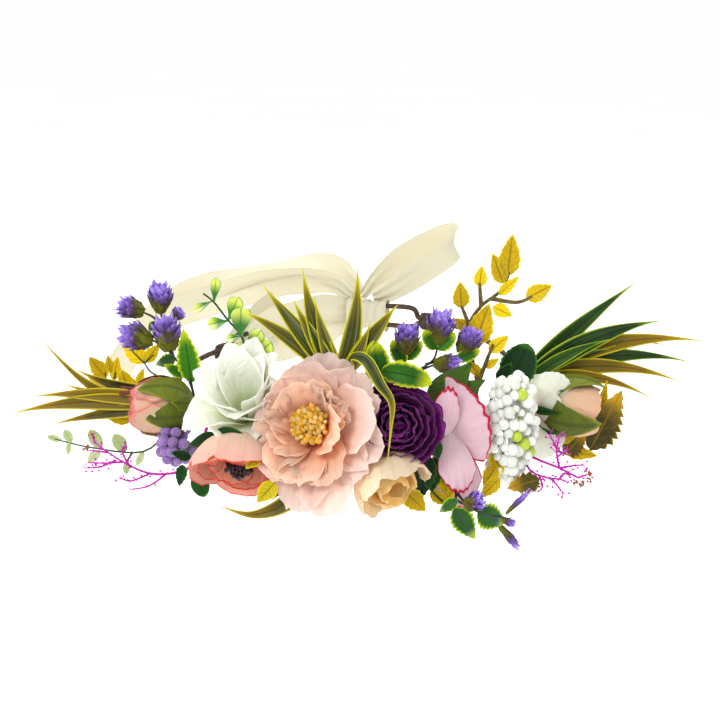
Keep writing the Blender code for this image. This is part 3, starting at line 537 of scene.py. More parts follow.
class Piece:
    """Gathers closed thin sheets, rods and beads, and becomes one object."""

    def __init__(self, name, seed=1):
        self.name = name
        self.verts = []
        self.faces = []
        self.marks = []
        self.draw = random.Random(seed)

    def sheet(self, shape, columns, rows, thickness=0.35, tone=None):
        """A closed thin solid round the surface shape(across, along)."""
        tone = self.draw.random() if tone is None else tone
        grid, marks = [], []
        for row in range(rows + 1):
            for column in range(columns + 1):
                across, along = 2 * column / columns - 1, row / rows
                grid.append(shape(across, along))
                marks.append((across, along, tone))
        wide = columns + 1
        start = len(self.verts)
        lift = []
        for row in range(rows + 1):
            for column in range(wide):
                left = grid[row * wide + max(column - 1, 0)]
                right = grid[row * wide + min(column + 1, columns)]
                below = grid[max(row - 1, 0) * wide + column]
                above = grid[min(row + 1, rows) * wide + column]
                normal = (right - left).cross(above - below)
                length = normal.length
                lift.append(normal * (thickness / 2 / length) if length > 1e-9 else Vector((0, 0, 0.1)))
        self.verts += [p + n for p, n in zip(grid, lift)] + [p - n for p, n in zip(grid, lift)]
        self.marks += marks + marks
        size = len(grid)
        for row in range(rows):
            for column in range(columns):
                a = start + row * wide + column
                quad = (a, a + 1, a + 1 + wide, a + wide)
                self.faces.append(quad)
                self.faces.append(tuple(i + size for i in reversed(quad)))
        ring = list(range(wide))
        ring += [row * wide + columns for row in range(1, rows + 1)]
        ring += [rows * wide + column for column in range(columns - 1, -1, -1)]
        ring += [row * wide for row in range(rows - 1, 0, -1)]
        for a, b in zip(ring, ring[1:] + ring[:1]):
            self.faces.append((start + b, start + a, start + a + size, start + b + size))

    def rod(self, path, radius, sides=8, tone=None, end=1.0, shape=None, side=None):
        """A capped rod; shape(turn, along) scales its radius, end tapers it, turn 0 is at side."""
        tone = self.draw.random() if tone is None else tone
        start = len(self.verts)
        last = len(path) - 1
        for index, point in enumerate(path):
            run = (path[min(index + 1, last)] - path[max(index - 1, 0)]).normalized()
            if side is None:
                side = run.orthogonal().normalized()
            side = (side - run * side.dot(run)).normalized()
            other = run.cross(side)
            along = index / last
            reach = radius * (1 + (end - 1) * along)
            for step in range(sides):
                turn = 2 * math.pi * step / sides
                local = reach * (shape(turn, along) if shape else 1.0)
                self.verts.append(point + (side * math.cos(turn) + other * math.sin(turn)) * local)
                self.marks.append((2 * step / sides - 1, along, tone))
        for index in range(last):
            for step in range(sides):
                a = start + index * sides + step
                b = start + index * sides + (step + 1) % sides
                self.faces.append((a, b, b + sides, a + sides))
        self.faces.append(tuple(start + step for step in reversed(range(sides))))
        self.faces.append(tuple(start + last * sides + step for step in range(sides)))

    def bead(self, centre, radius, stretch=1.0, axis=UP, segments=14, rings=9, tone=None, rough=0.0):
        """A ball, stretched along an axis, with a small dimple at its far pole."""
        tone = self.draw.random() if tone is None else tone
        matrix = frame_along(centre, axis, Vector((0.31, 0.2, 0.93)))
        start = len(self.verts)
        for ring in range(1, rings):
            turn = math.pi * ring / rings
            for step in range(segments):
                around = 2 * math.pi * step / segments
                spot = Vector((math.sin(turn) * math.cos(around), math.sin(turn) * math.sin(around),
                               math.cos(turn) * stretch))
                reach = radius * (1 + rough * ripple(spot * 3, 1.0, tone * 9))
                self.verts.append(matrix @ (spot * reach))
                self.marks.append((2 * step / segments - 1, ring / rings, tone))
        for pole, depth in ((0, 0.9), (1, 1.0)):
            self.verts.append(matrix @ Vector((0, 0, radius * stretch * depth * (1 - 2 * pole))))
            self.marks.append((0.0, float(pole), tone))
        top, bottom = len(self.verts) - 2, len(self.verts) - 1
        for ring in range(rings - 2):
            for step in range(segments):
                a = start + ring * segments + step
                b = start + ring * segments + (step + 1) % segments
                self.faces.append((a, a + segments, b + segments, b))
        for step in range(segments):
            following = (step + 1) % segments
            self.faces.append((top, start + step, start + following))
            base = start + (rings - 2) * segments
            self.faces.append((bottom, base + following, base + step))

    def finish(self, look, slot, *nodes, body="garland"):
        """Link the mesh, shade it, and say what it rides on and stands for."""
        mesh = bpy.data.meshes.new(self.name)
        mesh.from_pydata([v * MM for v in self.verts], [], self.faces)
        mark = mesh.attributes.new("mark", "FLOAT_VECTOR", "POINT")
        mark.data.foreach_set("vector", [value for item in self.marks for value in item])
        mesh.shade_smooth()
        mesh.set_sharp_from_angle(angle=math.radians(55))
        mesh.materials.append(LOOKS[look])
        thing = bpy.data.objects.new(self.name, mesh)
        bpy.context.scene.collection.objects.link(thing)
        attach(thing, body)
        if nodes:
            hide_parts(*nodes)
        return thing


def petal(piece, seat, turn, length, width, opening=(30, 90), start=(2.0, 0.0), cup=0.9,
          blunt=0.30, frill=1.0, curl=0.0, neck=0.25, ragged=0.03, tone=None, fine=18, ease=1.2,
          roll=0.0, point=2.4, creases=0.5):
    """One petal of a whorl round local +Z.

    opening is its angle from the flower's axis at base and tip, cup how many of its own
    widths the radius of its cross curve is, blunt how far its corners fall back, frill the
    height of the waves at its edge, curl bends its last third further out, and roll turns
    it about its own length.  A low point makes a pointed tip; creases are the height of the
    crumples all over it.
    """
    draw = piece.draw
    seed = draw.random() * 50
    place = seat @ Matrix.Rotation(math.radians(turn), 4, "Z")
    steps = 40
    centre = [(Vector((start[0], 0.0, start[1])), math.radians(opening[0]))]
    for index in range(steps):
        along = (index + 0.5) / steps
        angle = opening[0] + (opening[1] - opening[0]) * along ** ease
        angle += curl * max(0.0, (along - 0.65) / 0.35) ** 2
        angle = math.radians(angle)
        spot = centre[-1][0] + Vector((math.sin(angle), 0.0, math.cos(angle))) * (length / steps)
        centre.append((spot, angle))
    bend = cup * width
    waves = draw.choice((2, 3)) + 0.5 * draw.random()

    def shape(across, along):
        reach = along * (1 - blunt * abs(across) ** point * along)
        reach *= 1 + ragged * (ripple((across * 3, along, 0), 0.7, seed)
                               + 0.5 * ripple((across * 8, along, 0), 0.7, seed + 9))
        place_on = min(max(reach, 0.0), 1.0) * steps
        low = min(int(place_on), steps - 1)
        share = place_on - low
        spot = centre[low][0].lerp(centre[low + 1][0], share)
        angle = centre[low][1] * (1 - share) + centre[low + 1][1] * share
        spread = neck + (1 - neck) * math.sin(math.pi / 2 * min(1.0, reach / 0.7)) ** 0.9
        side = across * width / 2 * spread
        side_turn = side / bend
        inward = bend * (1 - math.cos(side_turn))
        side = bend * math.sin(side_turn)
        inward += side * math.tan(math.radians(roll)) * reach
        edge = reach ** 2 * (0.25 + 0.75 * abs(across))
        inward += frill * edge * math.sin(waves * math.pi * across + seed)
        inward += frill * 0.8 * reach ** 2 * ripple((across * 2, along * 2, 0), 0.5, seed)
        inward += creases * reach * (abs(ripple((across * 2, along * 2, 0), 0.55, seed + 5)) * 2 - 0.6)
        return place @ (spot + Vector((-math.cos(angle) * inward, side, math.sin(angle) * inward)))

    piece.sheet(shape, fine, fine, tone=tone)


def whorl(piece, seat, count, length, width, first=0.0, jitter=8.0, vary=0.08, **how):
    """A ring of petals with small differences between them."""
    draw = piece.draw
    for index in range(count):
        turn = first + 360 * index / count + draw.uniform(-jitter, jitter)
        size = 1 + draw.uniform(-vary, vary)
        petal(piece, seat, turn, length * size, width * size, **how)


# Half width of a leaf, as a share of its largest, by the share v of the way to its tip.
OUTLINES = {
    "leaf": lambda v: math.sin(math.pi * v ** 0.75) ** 0.85 * (1 - 0.25 * v),
    "grass": lambda v: (0.35 + 0.65 * math.sin(math.pi * min(v / 0.9, 1.0) ** 0.7)) * (1 - v ** 3),
    "round": lambda v: math.sin(math.pi * v ** 0.85) ** 0.55,
    "spoon": lambda v: 0.16 + 0.84 * math.sin(math.pi / 2 * min(1, v / 0.7)) ** 2
             if v < 0.7 else math.sqrt(max(0.0, 1 - ((v - 0.7) / 0.3) ** 2)),
    "oval": lambda v: math.sin(math.pi * v) ** 0.6,
}


def blade(piece, base, tip, width, bow=(0, 0, 0), face=TO_CAMERA, roll=0.0, fold=0.18,
          outline="leaf", teeth=0, tooth=0.12, fine=12, tone=None, thickness=0.45, wave=0.0,
          route=None):
    """A leaf from base to tip; bow moves its middle, face is where its upper side looks.

    A route, given as points between base and tip, replaces the bow.
    """
    base, tip = Vector(base), Vector(tip)
    middle = (base + tip) / 2 + Vector(bow) * 2
    if route:
        way = smooth_path([base, *[Vector(point) for point in route], tip], 8)
    span = tip - base
    length = span.length
    normal = Vector(face)
    normal = (normal - span * normal.dot(span) / length ** 2).normalized()
    normal.rotate(Matrix.Rotation(math.radians(roll), 3, span.normalized()))
    seed = piece.draw.random() * 40
    def shape(across, along):
        if route:
            place_on = along * (len(way) - 1)
            low = min(int(place_on), len(way) - 2)
            spot = way[low].lerp(way[low + 1], place_on - low)
            run = (way[min(low + 2, len(way) - 1)] - way[max(low - 1, 0)]).normalized()
        else:
            spot = base * (1 - along) ** 2 + middle * 2 * along * (1 - along) + tip * along ** 2
            run = ((middle - base) * (1 - along) + (tip - middle) * along).normalized()
        side = run.cross(normal).normalized()
        out = side.cross(run)
        half = width / 2 * max(OUTLINES[outline](along), 0.02)
        if teeth:
            phase = (along * teeth) % 1.0
            half *= 1 - tooth + tooth * 2 * (1 - phase)
        up = fold * half * abs(across)
        up += wave * width * 0.5 * ripple((across, along * 3, 0), 0.6, seed) * abs(across)
        return spot + side * half * across + out * up

    rows = max(fine, teeth * 4)
    piece.sheet(shape, 6, rows, thickness, tone)


def bud_head(piece, base, tip, radius, count=7, spread=0.5):
    """A bud of overlapping frayed scales from base to tip, opening at its head."""
    axis = tip - base
    length = axis.length
    seat = frame_along(base, axis, Vector((0.1, -0.3, 0.95)))
    draw = piece.draw
    girths = (0.95, 1.15, 1.1, 0.95, 0.7)
    for ring, girth in enumerate(girths):
        share = ring / len(girths)
        reach = radius * girth
        for index in range(count):
            out = spoke(2 * math.pi * (index + 0.5 * (ring % 2) + draw.uniform(-0.16, 0.16)) / count)
            foot = seat @ (out * reach * 0.4 + rise(length * share * 0.7))
            tall = length * (0.55 + 0.16 * draw.random())
            head = seat @ (out * reach * (1 + spread * 0.4 * draw.random())
                           + rise(length * share * 0.66 + tall))
            face = seat.to_3x3() @ (out + rise(0.25))
            blade(piece, foot, head, radius * draw.uniform(0.95, 1.3), bow=face * radius * 0.12,
                  face=face, roll=draw.uniform(-12, 12), fold=-0.3, fine=10, teeth=3, tooth=0.2,
                  thickness=0.35, wave=0.3,
                  tone=min(1.0, max(0.0, share * 0.9 + 0.35 * draw.random() - 0.05)))


def lavender_heads(name, seed, angle, heads, **how):
    """Several buds in one piece, as (base, tip, radius) from the hoop at a ring angle."""
    piece = Piece(name, seed)
    for base, tip, radius in heads:
        bud_head(piece, near(angle, *base), near(angle, *tip), radius, **how)
    piece.finish("violet", "lavender")


def stamens(piece, seat, count, spread, height, radius, stretch=1.5):
    """A tuft of short filaments with lumpy heads."""
    for index in range(count):
        share = math.sqrt((index + 0.5) / count)
        out = spoke(GOLDEN_TURN * index)
        tall = height * (1.05 - 0.35 * share + 0.2 * piece.draw.random())
        foot = seat @ (out * spread * share * 0.5)
        head = seat @ (out * spread * share + rise(tall))
        middle = (foot + head) / 2 + seat.to_3x3() @ rise(height * 0.1)
        piece.rod([foot, middle, head], radius * 0.35, 5)
        axis = head - foot + Vector([piece.draw.uniform(-3, 3) for _ in range(3)])
        piece.bead(head, radius * piece.draw.uniform(0.7, 1.2), stretch, axis, 8, 6, rough=0.45)


# ---------------------------------------------------------------- flower heads

def seat_at(angle, facing, stem, shift=(0, 0, 0)):
    """Where a flower head sits: a stem's length out from the tape."""
    facing = Vector(facing).normalized()
    return frame_along(ring_point(angle) + facing * (TAPE_RADIUS + stem) + Vector(shift), facing)


def stalk(piece, seat, stops, radius, sides, **how):
    """A straight rod through the given heights on a seat's axis."""
    piece.rod([seat @ rise(stop) for stop in stops], radius, sides, **how)


def make_calyx(name, seat, stem, size, node):
    """The green cup behind the petals with five sepals and its wrapped stem."""
    piece = Piece(name, 5)
    stalk(piece, seat, (-stem, -stem * 0.5, -1.5), 1.3, 10)
    piece.bead(seat @ rise(-1.6), size * 0.45, 0.7, seat.to_3x3() @ UP)
    for index in range(5):
        out = spoke(math.radians(72 * index + 15))
        blade(piece, seat @ (out + rise(-3.4)), seat @ (out * size + rise(1.0)), size * 0.55,
              bow=seat.to_3x3() @ (out * 0.5 + rise(-1.6)), face=seat.to_3x3() @ rise(-1), fine=8)
    piece.finish("green", "green_leaf", node)


def make_peony():
    """The largest flower: pale outer petals, crumpled peach ones, golden stamens."""
    seat = seat_at(-7.5, (-0.26, -0.86, 0.46), 8)
    make_calyx("peony_calyx_leaves", seat, 12, 9, "peony_calyx")

    def place(piece, base, rows, **how):
        for turn, length, width, opening, tone, frill, curl in rows:
            petal(piece, base, turn, length, width, opening, (2.5, 0), frill=frill, curl=curl,
                  tone=tone, roll=piece.draw.uniform(-14, 14), **how)

    outer = Piece("peony_outer", 11)
    place(outer, seat, (
        (78, 38, 38, (62, 74), 0.15, 2.4, 0), (108, 35, 36, (50, 60), 0.6, 2.0, -26),
        (40, 38, 34, (58, 74), 0.4, 2.4, 10), (14, 38, 36, (50, 66), 0.9, 1.8, -10),
        (-14, 38, 30, (58, 84), 0.75, 1.8, 16), (-38, 36, 28, (60, 84), 0.5, 2.2, 0),
        (-70, 44, 30, (64, 92), 0.7, 1.8, 0), (-92, 42, 30, (60, 90), 0.45, 2.0, 8),
        (-128, 35, 36, (50, 72), 0.8, 2.2, -10), (-164, 32, 34, (48, 70), 0.5, 2.2, -16),
        (164, 31, 34, (46, 64), 0.75, 2.4, -20), (135, 33, 32, (46, 56), 0.9, 2.4, -30)),
        fine=26, ragged=0.07, cup=1.0, creases=1.4)
    outer.finish("peony_outer", "peach_petal", "peony_outer_petals")
    inner = Piece("peony_inner", 23)
    middle = seat @ Matrix.Translation((0, 0, 3))
    place(inner, middle, (
        (112, 30, 34, (28, 50), 0.8, 2.6, -20), (70, 27, 26, (28, 50), 0.5, 2.8, -10),
        (30, 27, 26, (30, 56), 0.4, 2.8, 0), (-12, 31, 26, (26, 40), 1.0, 1.6, 10),
        (-62, 34, 28, (44, 78), 0.35, 1.6, 10), (-104, 35, 34, (40, 70), 0.85, 2.6, 10),
        (-146, 28, 26, (28, 56), 0.6, 2.8, 10), (172, 26, 26, (26, 50), 0.9, 2.6, 0)),
        fine=28, ragged=0.09, creases=1.2)
    for turn, length, width, opening, frill, curl, roll in (
            (160, 25, 20, (24, 50), 3.2, 20, 34), (200, 27, 20, (26, 60), 3.2, 24, -34),
            (236, 27, 20, (30, 62), 2.6, 34, 26), (278, 26, 20, (34, 70), 1.8, 30, -16),
            (36, 25, 20, (26, 46), 3.2, 20, 24), (84, 24, 22, (20, 40), 3.4, 24, -26),
            (124, 24, 18, (22, 44), 3.2, 20, 26)):
        petal(inner, middle, turn, length, width, opening, (7.0, 1), frill=frill, curl=curl, fine=26,
              blunt=0.2, ragged=0.16, cup=0.8, roll=roll, tone=inner.draw.random() * 0.5, creases=1.3)
    inner.finish("peony_inner", "orange_petal", "peony_inner_petals")
    tuft = Piece("peony_stamen_tuft", 31)
    stamens(tuft, seat @ Matrix.Translation((0.5, 0, 8)), 54, 9.0, 13, 1.5, stretch=1.9)
    tuft.finish("stamen", "stamen", "peony_stamens")


def make_white_flower():
    """Long pointed petals, folded along the middle, standing up out of a wide skirt."""
    seat = seat_at(-32, (-0.16, -0.42, 0.88), 12, (4, -2, -7))
    make_calyx("white_flower_calyx_leaves", seat, 12, 7, "white_flower_calyx")
    outer = Piece("white_flower_outer", 7)
    for turn, length, width, opening, cup, tone, curl, roll in (
            (172, 38, 33, (34, 58), 0.5, 0.4, 20, 14), (128, 40, 34, (22, 34), 0.46, 0.6, 30, -14),
            (84, 43, 34, (18, 26), 0.44, 0.6, 34, 12), (40, 40, 34, (20, 32), 0.46, 0.5, 24, -12),
            (0, 31, 30, (28, 46), 0.5, 0.5, 10, 8), (-40, 27, 32, (36, 64), 0.55, 0.4, 10, 0),
            (-84, 32, 40, (46, 108), 0.6, 0.8, 40, -8), (-140, 38, 38, (50, 92), 0.54, 0.5, 40, 10)):
        petal(outer, seat, turn, length, width, opening, (2, 0), cup, 0.42, 1.0, curl, tone=tone,
              fine=26, roll=roll, point=1.2, creases=1.0)
    outer.finish("white", "white_petal", "white_flower_outer_petals")
    inner = Piece("white_flower_inner", 9)
    for turn, length, width, opening, cup, roll in (
            (150, 34, 28, (16, 44), 0.46, 16), (104, 36, 27, (10, 28), 0.44, -16),
            (56, 35, 26, (10, 30), 0.44, 14), (4, 28, 26, (14, 44), 0.46, -10),
            (-84, 27, 36, (22, 70), 0.56, 8), (-150, 32, 32, (24, 60), 0.5, -10)):
        petal(inner, seat, turn, length, width, opening, (2, 2), cup, 0.42, 1.0, 20, tone=0.7, fine=24,
              roll=roll, point=1.2, creases=0.9)
    inner.finish("white", "white_petal", "white_flower_inner_petals")


def make_coral_ranunculus():
    """A wide coral flower that faces down and out, its red rims round a dark heart."""
    seat = seat_at(-27, (-0.10, -0.64, -0.76), 6, (-9, -7, 8.5))
    make_calyx("coral_calyx_leaves", seat, 10, 7, "coral_ranunculus_calyx")
    cloth = {"neck": 0.35, "ragged": 0.05, "creases": 0.8}
    outer = Piece("coral_outer", 13)
    whorl(outer, seat, 6, 36, 37, 20, 6, 0.06, opening=(84, -2), start=(2, 0), cup=0.56, blunt=0.24,
          frill=1.2, curl=-16, **cloth)
    outer.finish("coral", "coral_petal", "coral_ranunculus_outer_petals")
    inner = Piece("coral_inner", 15)
    whorl(inner, seat, 5, 31, 31, 50, 8, 0.07, opening=(80, 0), start=(2, 1.5), cup=0.56, blunt=0.22,
          frill=1.4, **cloth)
    whorl(inner, seat, 5, 25, 25, 14, 8, 0.08, opening=(66, -4), start=(2, 3), cup=0.54, blunt=0.2,
          frill=1.4, **cloth)
    inner.finish("coral_inner", "coral_petal", "coral_ranunculus_inner_petals")
    tuft = Piece("coral_stamen_tuft", 17)
    stamens(tuft, seat @ Matrix.Translation((0, 0, 5)), 46, 7.0, 15, 1.05)
    tuft.finish("dark_stamen", "dark_stamen", "coral_ranunculus_stamens")


def make_purple_ranunculus():
    """A plum ranunculus: crepe petals wrapped ring on ring round a closed heart."""
    seat = seat_at(14.5, (0.02, -0.92, 0.34), 8, (-1, 3, 2))
    make_calyx("plum_calyx_leaves", seat, 12, 7, "purple_ranunculus_calyx")
    outer = Piece("plum_outer", 19)
    for length, width, first, opening, base, cup, curl in ((30, 29, 0, (82, 6), 0, 0.56, -8),
                                                           (28, 27, 30, (78, -4), 1.5, 0.54, 0)):
        whorl(outer, seat, 6, length, width, first, 8, 0.06, opening=opening, start=(2, base), cup=cup,
              blunt=0.2, curl=curl, neck=0.4, ragged=0.05, creases=0.8)
    outer.finish("plum", "plum_petal", "purple_ranunculus_outer_petals")
    inner = Piece("plum_inner", 21)
    for layer in range(4):
        whorl(inner, seat, 5, 25.5 - 1.8 * layer, 24 - 3.4 * layer, 24 * layer, 10, 0.08,
              opening=(68 - 12 * layer, -12 - 5 * layer), start=(2, 2.5 + 1.2 * layer),
              cup=0.5, blunt=0.18, frill=1.2, neck=0.4, ragged=0.06, creases=0.8)
    inner.finish("plum", "plum_petal", "purple_ranunculus_inner_petals")
    heart = Piece("plum_heart", 25)
    for layer in range(2):
        whorl(heart, seat, 4, 17 - 2 * layer, 11 - 3 * layer, 40 * layer, 10, 0.1,
              opening=(16 - 10 * layer, -26), start=(1.5, 5.5), cup=0.45, blunt=0.15, frill=0.8,
              neck=0.5, fine=14)
    heart.finish("plum", "plum_petal", "purple_ranunculus_heart")


def make_cream_rose():
    """A small rose, nearly closed, its gold inside showing low on one side."""
    seat = seat_at(10, (0.36, -0.74, -0.56), 12, (-7, -1, -1))
    make_calyx("cream_calyx_leaves", seat, 14, 7, "cream_rose_calyx")
    outer = Piece("cream_outer", 27)
    for turn, length, width, opening, curl, start in (
            (100, 33, 34, (88, -34), -10, 0), (160, 33, 33, (88, -34), 0, 0),
            (40, 29, 28, (84, -12), 10, 0.4), (-24, 26, 28, (86, 0), 20, 0),
            (-80, 26, 28, (86, -4), 16, 0.4), (-140, 32, 32, (86, -28), 6, 0.8)):
        petal(outer, seat, turn, length, width, opening, (2, start), 0.56, 0.25, 1.1, curl, 0.4, 0.05,
              fine=22, creases=0.8)
    outer.finish("cream", "cream_petal", "cream_rose_petals")
    heart = Piece("cream_heart", 29)
    for count, length, width, first, opening, base, cup in ((5, 22, 22, 10, (66, -16), 2, 0.52),
                                                            (4, 18, 16, 50, (44, -18), 4, 0.5)):
        whorl(heart, seat, count, length, width, first, 8, 0.08, opening=opening, start=(2, base),
              cup=cup, frill=1.4, neck=0.4, ragged=0.06, creases=0.8)
    heart.finish("cream_heart", "cream_petal", "cream_rose_heart")


def fan(piece, root, tip, width, bulge, face, tone, waves=1.0, blunt=0.42):
    """A broad petal from root to tip that bulges towards face and has a crinkled rim."""
    root, tip = Vector(root), Vector(tip)
    run = tip - root
    length = run.length
    run.normalize()
    side = run.cross(Vector(face)).normalized()
    out = side.cross(run)
    seed = piece.draw.random() * 40

    def shape(across, along):
        reach = along * (1 - blunt * abs(across) ** 2.2 * along)
        reach *= 1 + 0.02 * waves * math.sin(across * 24 + seed)
        spread = 0.28 + 0.72 * math.sin(math.pi / 2 * min(1.0, reach / 0.75)) ** 0.85
        arch = bulge * (math.sin(math.pi * reach * 0.85) - 0.55 * across * across)
        crinkle = 0.55 * waves * reach ** 4 * math.sin(across * 17 + seed * 2)
        crinkle += 0.9 * reach ** 2 * ripple((across * 2, reach * 2, 0), 0.6, seed)
        return root + run * (length * reach) + side * (across * width / 2 * spread) + out * (arch + crinkle)

    piece.sheet(shape, 30, 20, tone=tone)


def make_pink_flower():
    """Pale pink petals fanned on edge, each with a thin crimson rim."""
    seat = seat_at(28.5, (10.4, -23, 3), 9)
    make_calyx("pink_calyx_leaves", seat, 12, 6, "pink_flower_calyx")
    root = seat.translation + Vector((-8, 5, 0))
    face = Vector((0.25, -0.9, 0.25))
    outer = Piece("pink_outer", 33)
    fan(outer, root + Vector((1, 2, 0)), root + Vector((26, -8, 13)), 50, 5, face, 0.45)
    fan(outer, root + Vector((8, 0, -4)), root + Vector((11, -12, -39)), 30, 4, face, 0.35)
    fan(outer, root + Vector((2, 6, 2)), root + Vector((20, 10, 18)), 34, -4, face, 0.2)
    fan(outer, root + Vector((2, 6, -2)), root + Vector((18, 12, -20)), 30, -4, face, 0.2)
    outer.finish("pink", "pink_petal", "pink_flower_outer_petals")
    inner = Piece("pink_inner", 35)
    fan(inner, root + Vector((0, -4, -9)), root + Vector((6, -15, 28)), 20, 3.5, face, 0.8, blunt=0.6)
    fan(inner, root + Vector((8, -6, 0)), root + Vector((12, -20, -27)), 21, 3.5, face, 0.7)
    inner.finish("pink", "pink_petal", "pink_flower_inner_petals")


def make_hydrangea():
    """A white floret behind the berries: two pairs of round, scalloped petals."""
    seat = seat_at(61, (16, -6, 1), 8)
    piece = Piece("hydrangea_floret", 37)
    base = seat.translation + Vector((2, 0, -3))
    stalk(piece, seat, (-11, 0), 1.0, 8)
    face = Vector((0.45, -0.85, 0.2))
    for tip, width, bulge in (((13, -2, 23), 28, 5), ((16, -4, 6), 24, 4), ((9, -5, -23), 28, 5),
                              ((-2, -8, 16), 22, 3), ((-3, -9, -14), 22, 3), ((14, 6, -8), 26, -4),
                              ((13, 8, 14), 26, -4)):
        fan(piece, base, base + Vector(tip), width, bulge, face, None, 0.45, 0.3)
    piece.finish("hydrangea", "white_petal", "hydrangea_petals")


def make_left_bud():
    """A fat closed bud: cream petals with pink lips in olive sepals."""
    seat = seat_at(-60, (-1.0, -0.14, 0.04), 2, (5, -6, 2))
    petals = Piece("left_bud_layers", 41)
    for layer, (count, length, width) in enumerate(((5, 37, 34), (4, 34, 28), (3, 30, 18))):
        whorl(petals, seat, count, length, width, 30 * layer + 20, 6, 0.05,
              opening=(88 - 12 * layer, -56), start=(1.5, 3 + layer), cup=0.5, blunt=0.28,
              frill=1.2, curl=26 - 10 * layer, neck=0.45, ease=0.85, ragged=0.05, creases=0.8)
    petals.finish("bud_pink", "peach_petal", "left_bud_petals")
    sepals = Piece("left_bud_sepal_leaves", 43)
    whorl(sepals, seat, 5, 36, 25, 62, 5, 0.1, opening=(100, -34), start=(1.5, 0.6), cup=0.56,
          blunt=0.8, frill=0.3, neck=0.6, ease=0.75, point=1.4)
    whorl(sepals, seat, 5, 20, 12, 20, 5, 0.1, opening=(104, 10), start=(1.5, -0.4), cup=0.6,
          blunt=0.8, frill=0.3, neck=0.6, ease=0.75, point=1.4)
    stalk(sepals, seat, (-8, -3, 2), 1.8, 10, end=2.4)
    sepals.finish("sepal", "green_leaf", "left_bud_sepals")
    twig = Piece("left_bud_twig", 44)
    route = ((-10, 0, 4), (-22, -4, 11), (-32, -6, 12), (-38, -6, 12.5))
    twig.rod(smooth_path([near(-60, *stop) for stop in route]), 0.9, 8, end=0.8)
    twig.finish("twig", "brown_leaf")


def make_right_bud():
    """A closed peach bud, deep in two broad sepals, with dark fingers at its foot."""
    seat = seat_at(70, (1.0, -0.10, -0.06), 3, (2, -8, -1))
    petals = Piece("right_bud_layers", 45)
    for layer, (count, length, width) in enumerate(((5, 38, 31), (4, 35, 24), (3, 30, 16))):
        whorl(petals, seat, count, length, width, 30 * layer, 6, 0.05,
              opening=(80 - 12 * layer, -36), start=(1.5, 2 + layer), cup=0.5, blunt=0.3,
              frill=0.6, curl=6, neck=0.45, ease=0.8, creases=0.7)
    petals.finish("bud_peach", "peach_petal", "right_bud_petals")
    sepals = Piece("right_bud_sepal_leaves", 47)
    whorl(sepals, seat, 4, 44, 30, 8, 4, 0.05, opening=(92, -34), start=(1.5, 0.6), cup=0.55,
          blunt=0.85, frill=0.3, neck=0.6, ease=0.75, point=1.3, fine=22)
    stalk(sepals, seat, (-7, -3, 2), 1.6, 10, end=2.0)
    sepals.finish("sepal", "green_leaf", "right_bud_sepals")
    fingers = Piece("right_bud_fingers", 49)
    for index in range(9):
        out = spoke(math.radians(40 * index + 12))
        blade(fingers, seat @ (out * 9), seat @ (out * 17.4 + rise(15)), 5.0,
              bow=seat.to_3x3() @ (out * 3.2 + rise(-2)), face=seat.to_3x3() @ out, fine=8)
    fingers.finish("dark_green", "moulded_green")


def berry_head(name, node, look, slot, place, stem, axes, sizes, count, seed):
    """Beads over an egg of the given half axes, on a stalk; place is where seat_at puts it."""
    angle, facing, shift = place
    seat = seat_at(angle, facing, stem, shift)
    piece = Piece(name, seed)
    centre = rise(axes[2])
    stalk(piece, seat, (-stem - 2, axes[2]), 1.1, 8, tone=0.2)
    for index in range(count):
        height = 1 - 1.7 * (index + 0.5) / count
        level = math.sqrt(1 - height * height)
        turn = GOLDEN_TURN * index
        out = Vector((level * math.cos(turn), level * math.sin(turn), height))
        size = piece.draw.uniform(*sizes)
        reach = 1 + piece.draw.uniform(-0.10, 0.10)
        spot = centre + Vector([o * a * reach for o, a in zip(out, axes)])
        piece.bead(seat @ spot, size, 1.0, seat.to_3x3() @ (-out), tone=piece.draw.random() ** 0.9)
        if index % 3 == 0:
            piece.rod([seat @ (centre * 0.7), seat @ spot], 0.35, 5, tone=0.95)
    piece.finish(look, slot, node)


def make_berries():
    """A head of white berries of mixed sizes, and a small one of powdery lilac."""
    berry_head("white_berry_head", "white_berries", "berry", "white_berry",
               (45, (15, -16, 0), (3, 0, -1)), 4, (14.5, 26.5, 9.5), (2.0, 3.5), 120, 51)
    berry_head("lilac_berry_head", "lilac_berries", "lilac", "lilac_berry",
               (-54, (-16, -6, -18), (0, -6, 0)), 9, (9, 9, 8), (2.7, 3.2), 26, 53)


# ---------------------------------------------------------------- foliage

def sprig(name, angle, stems, leaves, look, slot, stem="dark_stem", radius=0.8, node=None, **style):
    """Leaves on stems bound to the tape; every point is given from the hoop at a ring angle.

    stems are routes, and leaves are (base, tip, width) with an optional dict of blade's own
    settings.
    """
    woods = Piece(name + "_stem", 3)
    for route in stems:
        points = smooth_path([near(angle, *point) for point in route], 5)
        woods.rod(points, radius, 8, end=0.6)
    if stems:
        woods.finish(stem, "green_leaf")
    greens = Piece(name, 4)
    for base, tip, width, *own in leaves:
        how = {**style, **(own[0] if own else {})}
        if "route" in how:
            how["route"] = [near(angle, *point) for point in how["route"]]
        blade(greens, near(angle, *base), near(angle, *tip), width, **how)
    greens.finish(look, slot, *([node] if node else []))


GRASS = {"outline": "grass", "fold": 0.3, "fine": 24}


